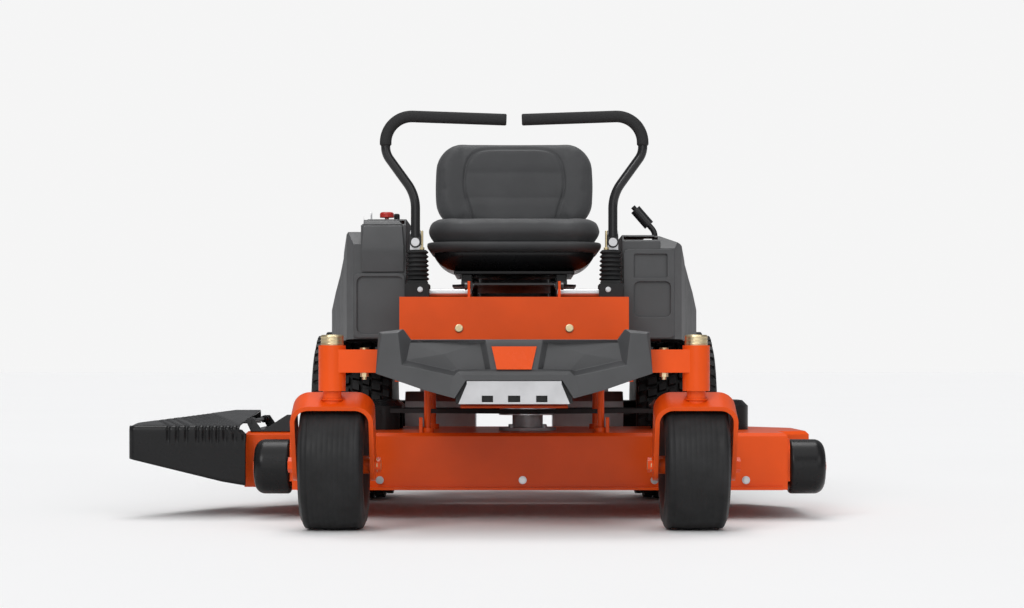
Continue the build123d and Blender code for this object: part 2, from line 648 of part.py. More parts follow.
def skid_plate():
    """The bright lower plate with its three slots."""
    y0 = bumper_front_y + 2.0
    plate = plate_y([(-SKID_TOP_HALF, SKID_TOP_Z), (SKID_TOP_HALF, SKID_TOP_Z),
                     (SKID_LOW_HALF, SKID_LOW_Z), (-SKID_LOW_HALF, SKID_LOW_Z)], y0, y0 + SKID_T)
    for x0, x1 in SKID_SLOTS:
        plate -= box(x0, x1, y0, y0 + SKID_T, SKID_LOW_Z + 4.0, SKID_LOW_Z + 18.0)
    flange = box(-SKID_TOP_HALF, SKID_TOP_HALF, y0, beam_front_y, SKID_TOP_Z, SKID_TOP_Z + SKID_T)
    rise = box(-SKID_TOP_HALF, SKID_TOP_HALF, beam_front_y - SKID_T, beam_front_y, SKID_TOP_Z, BEAM_BOTTOM_Z + 10.0)
    return plate + (flange + rise)


def badge_plate():
    """The bare trapezoid badge on the middle of the cover."""
    y1 = bumper_front_y + 6.0
    return plate_y([(-BADGE_TOP_HALF, 401.0), (BADGE_TOP_HALF, 401.0),
                    (BADGE_LOW_HALF, BADGE_LOW_Z), (-BADGE_LOW_HALF, BADGE_LOW_Z)], y1 - BADGE_T, y1)


# ---------------------------------------------------------------------------
# Side consoles with their wheel fenders
# ---------------------------------------------------------------------------
CONSOLE_LOW_Z = 425.0
CONSOLE_WALL = 4.0
FENDER_OUT = 486.0
FENDER_REAR_Y = 215.0
ARCH_R = 262.0
CONSOLE_RIGHT_TOP_Z = 713.0
CONSOLE_LEFT_TOP_Z = 675.0
CONSOLE_BOX_OUT = 367.0
RIGHT_SHOULDER = ((FENDER_OUT + 2.0, 505.0), (470.0, 555.0), (450.0, 600.0), (430.0, 650.0), (400.0, 684.0))
LEFT_SHOULDER = ((FENDER_OUT + 2.0, 505.0), (470.0, 555.0), (448.0, 600.0), (432.0, 628.0), (400.0, 655.0), (350.0, 674.0))
LIFT_X = 345.0
LIFT_Y = -570.0
LIFT_Z = 430.0
LIFT_SLOT_HALF = 28.0
LIFT_SLOT_LOW_Z = 620.0
LIFT_SLOT = (-668.0, -412.0)
KNOB_X = -310.0
KNOB_Y = -680.0
KEY_X = -348.0
KEY_Y = -680.0
THROTTLE_X = -290.0
THROTTLE_Y = -600.0
CAP_X = 380.0
CAP_Y = -60.0


def console_block(inset, box_top_z, box_out, shoulder):
    """The outer or, with an inset, the inner shape of a console and fender, on the +X side."""
    low = -100.0 if inset else 0.0
    plan = [
        (CONSOLE_IN + inset, CONSOLE_FRONT_Y + inset), (385.0 - inset, CONSOLE_FRONT_Y + inset),
        (405.0 - inset, CONSOLE_FRONT_Y + 50.0), (436.0 - inset, -420.0), (452.0 - inset, -330.0),
        (FENDER_OUT - inset, -180.0), (FENDER_OUT - inset, 150.0),
        (FENDER_OUT - 46.0 - inset, FENDER_REAR_Y - inset), (CONSOLE_IN + inset, FENDER_REAR_Y - inset)]
    shoulder_z = shoulder[-1][1]
    side = [
        (CONSOLE_FRONT_Y + inset, CONSOLE_LOW_Z + low), (CONSOLE_FRONT_Y + inset, shoulder_z - 32.0 - inset),
        (CONSOLE_FRONT_Y + 40.0 + inset, shoulder_z - inset), (-430.0, shoulder_z - inset),
        (-300.0, shoulder_z - 34.0 - inset), (110.0, 562.0 - inset), (FENDER_REAR_Y - inset, 520.0 - inset),
        (FENDER_REAR_Y - inset, CONSOLE_LOW_Z + low)]
    across = [(CONSOLE_IN, CONSOLE_LOW_Z + low), (FENDER_OUT + 2.0, CONSOLE_LOW_Z + low)]
    across += [(x - inset, z - inset / 2) for x, z in shoulder] + [(CONSOLE_IN, shoulder_z - inset / 2)]
    block = plate_z(plan, CONSOLE_LOW_Z + low, box_top_z + 1.0) & plate_x(side, CONSOLE_IN, FENDER_OUT + 1.0)
    block = block & plate_y(across, CONSOLE_FRONT_Y, FENDER_REAR_Y)
    top = box(CONSOLE_IN + inset, box_out - inset, CONSOLE_FRONT_Y + inset, -330.0 - inset,
              CONSOLE_LOW_Z + low, box_top_z - inset)
    if not inset:
        corner = top.edges().filter_by(lambda e: e.center().Z > box_top_z - 1.0 and e.center().X > CONSOLE_IN + 1.0)
        top = chamfer(corner, 16.0)
    return block + top


def console(box_top_z, box_out, shoulder):
    """A hollow console and fender, open below, with its wheel arch."""
    outer = console_block(0.0, box_top_z, box_out, shoulder)
    inner = console_block(CONSOLE_WALL, box_top_z, box_out, shoulder)
    arch = rod_x(ARCH_R, PANEL_HALF, FENDER_OUT + 10.0, 0, REAR_R)
    arch_skin = rod_x(ARCH_R + CONSOLE_WALL, PANEL_HALF, FENDER_OUT + 10.0, 0, REAR_R)
    rear_low = box(CONSOLE_IN, FENDER_OUT, -100.0, FENDER_REAR_Y, 0, CONSOLE_LOW_Z + 20.0)
    return outer - (inner - arch_skin) - arch - rear_low


def consoles():
    """The operator's right console, left console and what their tops are cut for."""
    right = other_side(console(CONSOLE_RIGHT_TOP_Z, CONSOLE_BOX_OUT, RIGHT_SHOULDER))
    for x, y, r in ((KNOB_X, KNOB_Y, KNOB_STEM_R), (KEY_X, KEY_Y, KEY_R)):
        right -= rod_z(r + HOLE_PLAY, 600.0, 800.0, x, y)
    right -= box(THROTTLE_X - 4.0, THROTTLE_X + 4.0, THROTTLE_Y - 40.0, THROTTLE_Y + 40.0, 690.0, 720.0)
    side_x = THROTTLE_X + 3.5
    right += box(side_x, side_x + 4.0, THROTTLE_Y - 12.0, THROTTLE_Y + 12.0, THROTTLE_Z - 12.0, 711.0)
    right += rod_x(THROTTLE_PIN_R, THROTTLE_X - 6.0, side_x, THROTTLE_Y, THROTTLE_Z)
    left = console(CONSOLE_LEFT_TOP_Z, 350.0, LEFT_SHOULDER)
    left -= box(LIFT_X - LIFT_SLOT_HALF, LIFT_X + LIFT_SLOT_HALF, *LIFT_SLOT, LIFT_SLOT_LOW_Z, 700.0)
    left -= rod_z(NECK_R + HOLE_PLAY, 500.0, 700.0, CAP_X, CAP_Y)
    left -= rod_x(LIFT_SHAFT_R + GAP, CONSOLE_IN - 10.0, CONSOLE_IN + 10.0, LIFT_Y, LIFT_Z)
    add("console_right", right)
    add("console_left", left)


KNOB_STEM_R = 5.0
KNOB_R = 17.0
KNOB_LIFT = 9.0
KEY_R = 8.0
NECK_R = 24.0
NECK_TOP_Z = 618.0
TANK_REAR_Y = 60.0


def small_controls():
    """The blade knob, ignition key, throttle lever and fuel cap."""
    top = CONSOLE_RIGHT_TOP_Z
    knob = rod_z(KNOB_STEM_R, top - 30.0, top + KNOB_LIFT, KNOB_X, KNOB_Y)
    head = rod_z(KNOB_R, top + KNOB_LIFT, top + KNOB_LIFT + 13.0, KNOB_X, KNOB_Y)
    add("blade_knob", knob + fillet(head.edges().group_by(Axis.Z)[-1], 5.0))
    barrel = rod_z(KEY_R, top - 30.0, top + 4.0, KEY_X, KEY_Y)
    bow = box(KEY_X - 1.5, KEY_X + 1.5, KEY_Y - 11.0, KEY_Y + 11.0, top + 4.0, top + 22.0)
    add("ignition_key", barrel + fillet(bow.edges().filter_by(Axis.X).group_by(Axis.Z)[-1], 8.0))
    arm = box(THROTTLE_X - 2.5, THROTTLE_X + 2.5, THROTTLE_Y - 5.0, THROTTLE_Y + 5.0, THROTTLE_Z, top + 10.0)
    arm += rod_x(8.0, THROTTLE_X - 2.5, THROTTLE_X + 2.5, THROTTLE_Y, THROTTLE_Z)
    arm -= rod_x(THROTTLE_PIN_R + RUN, THROTTLE_X - 2.5, THROTTLE_X + 2.5, THROTTLE_Y, THROTTLE_Z)
    grip = box(THROTTLE_X - 7.0, THROTTLE_X + 7.0, THROTTLE_Y - 9.0, THROTTLE_Y + 9.0, top + 8.0, top + 24.0)
    add("throttle_lever", arm + fillet(grip.edges(), 4.0))
    cap = rod_z(NECK_R + 12.0, NECK_TOP_Z + GAP, NECK_TOP_Z + 26.0, CAP_X, CAP_Y)
    for index in range(12):
        angle = math.radians(index * 30.0)
        cap -= rod_z(4.0, NECK_TOP_Z, NECK_TOP_Z + 26.0, CAP_X + (NECK_R + 13.0) * math.cos(angle),
                     CAP_Y + (NECK_R + 13.0) * math.sin(angle))
    add("fuel_cap", cap)


THROTTLE_Z = 672.0
THROTTLE_PIN_R = 3.0


def fuel_tank():
    """The tank in the left fender, ahead of and over the wheel arch."""
    tank = box(CONSOLE_IN + 8.0, 400.0, -455.0, -290.0, 440.0, 560.0)
    tank += box(CONSOLE_IN + 8.0, 415.0, -455.0, TANK_REAR_Y, 498.0, 552.0)
    tank -= rod_x(ARCH_R + CONSOLE_WALL + 2.0, PANEL_HALF - 20.0, FENDER_OUT, 0, REAR_R)
    return tank + rod_z(NECK_R, 540.0, NECK_TOP_Z, CAP_X, CAP_Y)


# ---------------------------------------------------------------------------
# Deck lift lever
# ---------------------------------------------------------------------------
LIFT_ROD_R = 7.0
LIFT_GRIP_R = 13.5
LIFT_SHAFT_R = 9.0
LIFT_GRIP_LOW = (350.0, 694.0)
LIFT_GRIP_TOP = (309.0, 741.0)
LIFT_BUTTON_R = 6.0
LIFT_BUTTON_OUT = 14.0


def lift_lever():
    """The lift lever: cross shaft, rod and grip, and the spring button in the grip's end."""
    low = (LIFT_X, LIFT_Y, LIFT_Z)
    knee = (LIFT_GRIP_LOW[0], LIFT_Y, LIFT_GRIP_LOW[1])
    top = (LIFT_GRIP_TOP[0], LIFT_Y, LIFT_GRIP_TOP[1])
    axis = Vector(*top) - Vector(*knee)
    unit = axis.normalized()
    path = FilletPolyline(low, knee, top, radius=30.0)
    rod = sweep(Plane(path @ 0, z_dir=path % 0) * Circle(LIFT_ROD_R), path=path)
    rod += rod_x(LIFT_SHAFT_R, CONSOLE_IN - 8.0, LIFT_X + 20.0, LIFT_Y, LIFT_Z)
    start = Vector(*knee) + unit * 22.0
    grip = extrude(Plane(start, z_dir=unit) * Circle(LIFT_GRIP_R), axis.length - 10.0)
    end = start + unit * (axis.length - 10.0)
    bore = extrude(Plane(end - unit * 12.0, z_dir=unit) * Circle(LIFT_BUTTON_R + GAP), 14.0)
    button = extrude(Plane(end - unit * (12.0 - 7.0), z_dir=unit) * Circle(LIFT_BUTTON_R), LIFT_BUTTON_OUT)
    add("lift_lever", (rod + grip) - bore)
    add("lift_button", button)
    return unit


def bodywork():
    """Covers, consoles and hand controls."""
    add("bumper_cover", bumper_cover())
    add("skid_plate", skid_plate())
    add("badge_plate", badge_plate())
    consoles()
    small_controls()
    add("fuel_tank", fuel_tank())


bodywork()
lift_lever()


# ---------------------------------------------------------------------------
# Rear drive
# ---------------------------------------------------------------------------
REAR_BEAD_R = 102.0
REAR_BEAD_HALF = 84.0
REAR_HUB_R = 40.0
REAR_WEB_OUT = 20.0
AXLE_SHAFT_R = 14.0
TRANSAXLE_IN = 105.0
TRANSAXLE_OUT = 296.0
TRANSAXLE_HALF_Y = 85.0
TRANSAXLE_LOW_Z = 150.0
TRANSAXLE_TOP_Z = 292.0
INPUT_X = 160.0
INPUT_Y = 30.0
INPUT_R = 52.0
INPUT_SHAFT_R = 8.0
STUD_CIRCLE_R = 56.0
STUDS = 5


def rear_wheel(side):
    """A driven rear wheel: tyre, rim with its axle shaft, and five wheel nuts."""
    x = side * REAR_X
    ring = tyre(x, 0, REAR_R, REAR_R, REAR_TYRE_W, REAR_BEAD_R, REAR_BEAD_HALF,
                wall=13.0, shoulder=36.0, crown=3.0)
    wheel = rim(x, 0, REAR_R, REAR_BEAD_R, REAR_BEAD_HALF, RIM_WALL, side * REAR_WEB_OUT,
                REAR_HUB_R, 1.0, AXLE_SHAFT_R - 4.0, flange=12.0)
    web_x = x + side * (REAR_WEB_OUT - RIM_WALL / 2)
    wheel += rod_x(REAR_HUB_R + 32.0, web_x - side * 10.0, web_x, 0, REAR_R)
    wheel += rod_x(REAR_HUB_R, side * (TRANSAXLE_OUT + SIDE), web_x, 0, REAR_R)
    wheel += rod_x(AXLE_SHAFT_R, side * (TRANSAXLE_IN + 45.0), x + side * 46.0, 0, REAR_R)
    for index in range(STUDS):
        angle = math.radians(index * 360.0 / STUDS)
        out = web_x + side * RIM_WALL
        wheel += hex_x(18.0, out, out + side * 14.0, STUD_CIRCLE_R * math.cos(angle),
                       REAR_R + STUD_CIRCLE_R * math.sin(angle))
    return ring, wheel


def transaxle(side):
    """One hydrostatic transaxle under its rail, with the stub of its input shaft."""
    x0, x1 = sorted((side * TRANSAXLE_IN, side * TRANSAXLE_OUT))
    case = box(x0, x1, -TRANSAXLE_HALF_Y, TRANSAXLE_HALF_Y, TRANSAXLE_LOW_Z, TRANSAXLE_TOP_Z)
    case = chamfer(case.edges().filter_by(Axis.X), 26.0)
    rail = sorted((side * (RAIL_IN + 4.0), side * (RAIL_OUT - 4.0)))
    case += box(rail[0], rail[1], -60.0, 60.0, TRANSAXLE_TOP_Z, RAIL_BOTTOM)
    bore = rod_x(AXLE_SHAFT_R + RUN, side * (TRANSAXLE_IN + 44.0), side * TRANSAXLE_OUT, 0, REAR_R)
    stub = rod_z(INPUT_SHAFT_R, TRANSAXLE_TOP_Z, TRANSAXLE_TOP_Z + 28.0, side * INPUT_X, INPUT_Y)
    return case + stub - bore


def input_pulley(side):
    """The grooved pulley with cooling fan on a transaxle's input shaft."""
    low = TRANSAXLE_TOP_Z + SIDE
    wheel = turned_z([(0, low), (INPUT_R, low), (INPUT_R, low + 3.0), (INPUT_R - 9.0, low + 9.0),
                      (INPUT_R, low + 15.0), (INPUT_R, low + 18.0), (0, low + 18.0)], side * INPUT_X, INPUT_Y)
    return wheel - rod_z(INPUT_SHAFT_R + RUN, low - 5.0, low + 23.0, side * INPUT_X, INPUT_Y)


# ---------------------------------------------------------------------------
# Engine
# ---------------------------------------------------------------------------
BLOCK_R = 112.0
BLOCK_TOP_Z = 530.0
CYLINDER_TILT = 45.0
CYLINDER_OUT = 205.0
FIN_T = 5.0
FIN_GAP = 6.0
SHROUD_R = 150.0
SHROUD_TOP_Z = 690.0
SCREEN_R = 112.0
MUFFLER_R = 44.0
MUFFLER_Z = 460.0


def engine_block():
    """Crankcase and the two finned cylinders of the V."""
    low = RAIL_TOP + ENGINE_PLATE_T
    block = rod_z(BLOCK_R, low, BLOCK_TOP_Z, 0, CRANK_Y)
    block = block - rod_z(CRANK_R + RUN, low, BLOCK_TOP_Z, 0, CRANK_Y)
    sump = box(-BLOCK_R - 25.0, BLOCK_R + 25.0, CRANK_Y - 30.0, CRANK_Y + 30.0, low, low + 14.0)
    block += sump - rod_z(CRANK_R + RUN, low, BLOCK_TOP_Z, 0, CRANK_Y)
    z = (low + BLOCK_TOP_Z) / 2 + 8.0
    for side in (-1, 1):
        turn = Pos(0, CRANK_Y, z) * Rot(0, 0, 90.0 + side * CYLINDER_TILT)
        barrel_in = BLOCK_R - 30.0
        barrel = turn * Pos((barrel_in + CYLINDER_OUT) / 2, 0, 0) * Box(CYLINDER_OUT - barrel_in, 76.0, 76.0)
        block += barrel
        count = int((CYLINDER_OUT - BLOCK_R - 20.0) / (FIN_T + FIN_GAP))
        for index in range(count):
            at = BLOCK_R + 14.0 + index * (FIN_T + FIN_GAP)
            block += turn * Pos(at, 0, 0) * Box(FIN_T, 104.0, 100.0)
        block += turn * Pos(CYLINDER_OUT - 4.0, 0, 0) * Box(22.0, 100.0, 96.0)
    return block


def engine_shroud():
    """The blower housing over the engine, with the round opening for the screen."""
    wall = 3.0
    outer = rod_z(SHROUD_R, BLOCK_TOP_Z, SHROUD_TOP_Z, 0, CRANK_Y)
    outer = fillet(outer.edges().group_by(Axis.Z)[-1], 30.0)
    inner = rod_z(SHROUD_R - wall, BLOCK_TOP_Z + wall, SHROUD_TOP_Z - wall, 0, CRANK_Y)
    inner = fillet(inner.edges().group_by(Axis.Z)[-1], 27.0)
    mouth = rod_z(SCREEN_R + 4.0, SHROUD_TOP_Z - 20.0, SHROUD_TOP_Z, 0, CRANK_Y)
    shaft = rod_z(CRANK_R + 3.0, BLOCK_TOP_Z, BLOCK_TOP_Z + 2 * wall, 0, CRANK_Y)
    return outer - inner - mouth - shaft


def crankshaft():
    """The upright crankshaft with drive pulley, electric clutch and flywheel fan."""
    low_z = RAIL_BOTTOM - 75.0
    pulley_z = TRANSAXLE_TOP_Z + SIDE
    shaft = rod_z(CRANK_R, low_z, SHROUD_TOP_Z - 26.0, 0, CRANK_Y)
    drive = turned_z([(0, pulley_z), (60.0, pulley_z), (60.0, pulley_z + 3.0), (51.0, pulley_z + 9.0),
                      (60.0, pulley_z + 15.0), (60.0, pulley_z + 18.0), (0, pulley_z + 18.0)], 0, CRANK_Y)
    clutch = rod_z(56.0, low_z, pulley_z - 6.0, 0, CRANK_Y)
    fan = rod_z(SCREEN_R - 10.0, BLOCK_TOP_Z + 60.0, BLOCK_TOP_Z + 72.0, 0, CRANK_Y)
    for index in range(12):
        angle = index * 30.0
        fan += Pos(0, CRANK_Y, BLOCK_TOP_Z + 90.0) * Rot(0, 0, angle) * Pos(70.0, 0, 0) * Box(50.0, 4.0, 36.0)
    return shaft + drive + clutch + fan


def engine_screen():
    """The turning grass screen in the mouth of the shroud."""
    z0 = SHROUD_TOP_Z - 26.0
    dish = rod_z(SCREEN_R, z0, z0 + 28.0, 0, CRANK_Y)
    dish = fillet(dish.edges().group_by(Axis.Z)[-1], 10.0)
    dish -= rod_z(SCREEN_R - 3.0, z0, z0 + 24.0, 0, CRANK_Y)
    return dish + rod_z(CRANK_R + 8.0, z0, z0 + 26.0, 0, CRANK_Y)


def muffler():
    """The silencer across the rear of the engine, on its exhaust bracket."""
    y = GUARD_REAR_Y - 2 * GUARD_R - MUFFLER_R - 5.0
    can = rod_x(MUFFLER_R, -150.0, 150.0, y, MUFFLER_Z)
    can = fillet(can.edges(), 14.0)
    rear = ENGINE_PLATE_REAR_Y
    foot = box(-60.0, 60.0, rear - PAN_T, rear, RAIL_TOP + ENGINE_PLATE_T, MUFFLER_Z)
    outlet = rod_y(14.0, y + 30.0, y + 78.0, 120.0, MUFFLER_Z - 8.0)
    return can + foot + outlet


def air_cleaner():
    """The air cleaner housing ahead of the shroud, low behind the seat."""
    y1 = CRANK_Y - SHROUD_R - 4.0
    shell = box(-95.0, 95.0, y1 - 95.0, y1, BLOCK_TOP_Z + 20.0, BLOCK_TOP_Z + 130.0)
    shell = fillet(shell.edges().filter_by(Axis.Z), 24.0)
    low = RAIL_TOP + ENGINE_PLATE_T
    neck = box(-30.0, 30.0, y1 - 60.0, y1 - 20.0, low, BLOCK_TOP_Z + 20.0)
    return shell + neck


def battery():
    """The battery between the rails under the seat platform's top."""
    case = box(-95.0, 95.0, -420.0, -290.0, RAIL_TOP + PAN_T, 505.0)
    case = fillet(case.edges().filter_by(Axis.Z), 8.0)
    for x in (-70.0, 70.0):
        case += rod_z(9.0, 505.0, 515.0, x, -310.0)
    return case


def battery_tray():
    """The tray across the rails that carries the battery."""
    half = PANEL_FOOT_HALF - PANEL_T - SIDE
    return box(-half, half, -440.0, -270.0, RAIL_TOP, RAIL_TOP + PAN_T)


# ---------------------------------------------------------------------------
# Seat
# ---------------------------------------------------------------------------
SEAT_PLATE_Z = 553.0
SEAT_PLATE_T = 5.0
SEAT_FRONT_Y = -630.0
SEAT_REAR_Y = -200.0
SEAT_LOW_Z = 602.0
SEAT_SEAM_Z = 668.0
SLIDE_X = 105.0
SLIDE_H = 12.0
SEAT_BACK_HALF_TOP = 214.0
SEAT_BACK_T = 62.0
SEAT_BACK_LEAN = 7.0


def seat_base():
    """The hinged plate under the seat, its ears and pins, stop feet and lower slide rails."""
    ear_x = CONTROL_BRACKET_X - SIDE
    z0 = SEAT_PLATE_Z
    z1 = z0 + SEAT_PLATE_T
    plate = plate_z([(-ear_x, SEAT_HINGE_Y + 26.0), (ear_x, SEAT_HINGE_Y + 26.0), (ear_x, -750.0),
                     (150.0, -700.0), (150.0, -240.0), (-150.0, -240.0), (-150.0, -700.0), (-ear_x, -750.0)], z0, z1)
    for side in (-1, 1):
        x0, x1 = sorted((side * ear_x, side * (ear_x - 5.0)))
        plate += plate_x([(SEAT_HINGE_Y - 10.0, SEAT_HINGE_Z - 10.0), (SEAT_HINGE_Y + 10.0, SEAT_HINGE_Z - 10.0),
                          (SEAT_HINGE_Y + 27.0, z0), (SEAT_HINGE_Y + 27.0, z1), (SEAT_HINGE_Y - 10.0, z1)], x0, x1)
        head = side * (CONTROL_BRACKET_X + CONTROL_BRACKET_T + SIDE)
        plate += rod_x(SEAT_HINGE_R, side * (ear_x - 8.0), head, SEAT_HINGE_Y, SEAT_HINGE_Z)
        plate += hex_x(15.0, head, head + side * 6.0, SEAT_HINGE_Y, SEAT_HINGE_Z)
        x0, x1 = sorted((side * SLIDE_X, side * (SLIDE_X + 26.0)))
        plate += box(x0, x1, -600.0, -250.0, z1, z1 + SLIDE_H)
        plate += rod_z(16.0, PANEL_TOP_Z + GAP, z0, side * 110.0, -300.0)
    return plate


def seat_pan():
    """The black moulded pan under the cushion, with the upper slide rails and back shell."""
    half = SEAT_W / 2
    z0 = SEAT_PLATE_Z + SEAT_PLATE_T + SLIDE_H
    low = plate_z([(-150.0, SEAT_FRONT_Y + 55.0), (150.0, SEAT_FRONT_Y + 55.0), (150.0, SEAT_REAR_Y - 60.0),
                   (-150.0, SEAT_REAR_Y - 60.0)], SEAT_LOW_Z - PAN_FOOT_H, SEAT_LOW_Z)
    sections = Sketch() + [
        Plane.XY.offset(SEAT_LOW_Z) * Pos(0, (SEAT_FRONT_Y + SEAT_REAR_Y) / 2) * RectangleRounded(300.0, 330.0, 60.0),
        Plane.XY.offset(SEAT_SEAM_Z - GAP) * Pos(0, (SEAT_FRONT_Y + SEAT_REAR_Y) / 2)
        * RectangleRounded(2 * half - 12.0, SEAT_REAR_Y - SEAT_FRONT_Y - 12.0, 80.0)]
    middle_y = (SEAT_FRONT_Y + SEAT_REAR_Y) / 2
    hollow = Sketch() + [
        Plane.XY.offset(SEAT_LOW_Z + PAN_WALL) * Pos(0, middle_y) * RectangleRounded(290.0, 320.0, 55.0),
        Plane.XY.offset(SEAT_SEAM_Z) * Pos(0, middle_y)
        * RectangleRounded(2 * half - 36.0, SEAT_REAR_Y - SEAT_FRONT_Y - 36.0, 70.0)]
    shape = (loft(sections) + low) - loft(hollow)
    for side in (-1, 1):
        x0, x1 = sorted((side * SLIDE_X, side * (SLIDE_X + 26.0)))
        shape += box(x0, x1, -560.0, -290.0, z0, SEAT_LOW_Z)
    return shape


def seat_cushion():
    """The cushion: a plain closed block with rounded plan and crowned edges."""
    block = Pos(0, (SEAT_FRONT_Y + SEAT_REAR_Y) / 2, (SEAT_SEAM_Z + SEAT_TOP_Z) / 2) * extrude(
        RectangleRounded(SEAT_W, SEAT_REAR_Y - SEAT_FRONT_Y, 84.0), (SEAT_TOP_Z - SEAT_SEAM_Z) / 2, both=True)
    return fillet(block.edges().group_by(Axis.Z)[-1], 22.0)


def seat_back():
    """The backrest, leaning back from the rear of the cushion."""
    height = SEAT_BACK_TOP_Z - SEAT_TOP_Z - GAP
    pad = Pos(0, 0, height / 2) * Rot(90, 0, 0) * extrude(
        RectangleRounded(2 * SEAT_BACK_HALF_TOP, height, 75.0), SEAT_BACK_T / 2, both=True)
    pad = fillet(pad.edges().group_by(Axis.Y)[0], 14.0)
    keep = box(-SEAT_W, SEAT_W, -500.0, 500.0, SEAT_TOP_Z + GAP, SEAT_BACK_TOP_Z)
    leaning = Pos(0, SEAT_REAR_Y - SEAT_BACK_T / 2 - 2.0, SEAT_TOP_Z - 2.0) * Rot(-SEAT_BACK_LEAN, 0, 0) * pad
    return leaning & keep


STRAP_T = 7.0
STRAP_HALF = 16.0
STRAP_TOP_Z = 880.0
STRAP_FOOT = 88.0
PAN_FOOT_H = 12.0
PAN_WALL = 5.0


def back_rear_y(z):
    """Where the rear face of the leaning backrest is at a height, with a small gap."""
    lean = math.radians(SEAT_BACK_LEAN)
    rear_y = SEAT_REAR_Y - SEAT_BACK_T / 2 - 2.0 + SEAT_BACK_T / 2 * math.cos(lean)
    rear_z = SEAT_TOP_Z - 2.0 - SEAT_BACK_T / 2 * math.sin(lean)
    return rear_y + (z - rear_z) * math.tan(lean) + GAP


def seat_spine():
    """The two steel straps that carry the backrest from the pan."""
    straps = []
    for x in (-110.0, 110.0):
        near = SEAT_REAR_Y + GAP
        high = back_rear_y(STRAP_TOP_Z)
        strap = plate_x([(near, 615.0), (near + STRAP_T, 615.0), (near + STRAP_T, SEAT_TOP_Z + 10.0),
                         (high + STRAP_T, STRAP_TOP_Z), (high, STRAP_TOP_Z), (near, SEAT_TOP_Z + 14.0)],
                        x - STRAP_HALF, x + STRAP_HALF)
        foot_z = SEAT_LOW_Z - PAN_FOOT_H
        strap += box(x - STRAP_HALF, x + STRAP_HALF, SEAT_REAR_Y - STRAP_FOOT, near + STRAP_T, foot_z - STRAP_T, foot_z)
        strap += box(x - STRAP_HALF, x + STRAP_HALF, near, near + STRAP_T, foot_z - STRAP_T, 620.0)
        straps.append(strap)
    return straps


def drive_and_seat():
    """Rear wheels, transaxles, engine, battery and seat."""
    for name, side in (("right", -1), ("left", 1)):
        ring, wheel = rear_wheel(side)
        add("rear_tyre_" + name, ring)
        add("rear_rim_" + name, wheel)
        add("input_pulley_" + name, input_pulley(side))
    add("transaxles", transaxle(-1), transaxle(1))
    add("engine_block", engine_block())
    add("engine_shroud", engine_shroud())
    add("crankshaft", crankshaft(), engine_screen())
    add("muffler", muffler())
    add("air_cleaner", air_cleaner())
    add("battery", battery(), battery_tray())
    add("seat_base", seat_base())
    add("seat_pan", seat_pan(), *seat_spine())
    add("seat_cushion", seat_cushion())
    add("seat_back", seat_back())


drive_and_seat()


# ---------------------------------------------------------------------------
# Cutting deck
# ---------------------------------------------------------------------------
DECK_CENTRE_X = 33.0
DECK_LEFT_X = 715.0
DECK_RIGHT_X = -650.0
DECK_NOTCH_RIGHT_X = -522.0
DECK_NOTCH_LEFT_X = 643.0
DECK_NOTCH_Y = -735.0
DECK_RIM = 12.0
DECK_RIM_H = 6.0
CENTRE_BLADE_Y = DECK_FRONT_Y + DECK_WALL + 8.0 + BLADE_R
SIDE_BLADE_Y = CENTRE_BLADE_Y + BLADE_STAGGER
SPINDLE_R = 37.5
SPINDLE_FLANGE_R = 70.0
SPINDLE_LOW_Z = 150.0
SPINDLE_TOP_Z = 240.0
BLADE_SHAFT_R = 12.7
BLADE_Z = 84.0
BLADE_T = 6.0
BLADE_W = 60.0
DECK_PULLEY_R = 70.0
CHUTE_REAR_Y = -350.0
ROLLER_R = 64.5
ROLLER_W = 85.0
ROLLER_Z = 122.0
ROLLER_Y = -810.0
ROLLER_BOLT_R = 8.0
ROLLER_PLATE_T = 6.0
HANGER_X = 220.0

BLADES = (
    ("right", DECK_CENTRE_X - BLADE_PITCH, SIDE_BLADE_Y),
    ("centre", DECK_CENTRE_X, CENTRE_BLADE_Y),
    ("left", DECK_CENTRE_X + BLADE_PITCH, SIDE_BLADE_Y),
)


def deck_outline(inset):
    """The plan outline of the deck, drawn in by an inset."""
    outline = make_face(Polyline(
        (DECK_NOTCH_RIGHT_X, DECK_FRONT_Y), (DECK_NOTCH_LEFT_X, DECK_FRONT_Y), (DECK_NOTCH_LEFT_X, DECK_NOTCH_Y),
        (DECK_LEFT_X, DECK_NOTCH_Y + 35.0), (DECK_LEFT_X, -410.0), (610.0, DECK_REAR_Y),
        (-545.0, DECK_REAR_Y), (DECK_RIGHT_X, CHUTE_REAR_Y - 20.0), (DECK_RIGHT_X, DECK_NOTCH_Y),
        (DECK_NOTCH_RIGHT_X, DECK_NOTCH_Y), close=True))
    return offset(outline, -inset, kind=Kind.INTERSECTION) if inset else outline


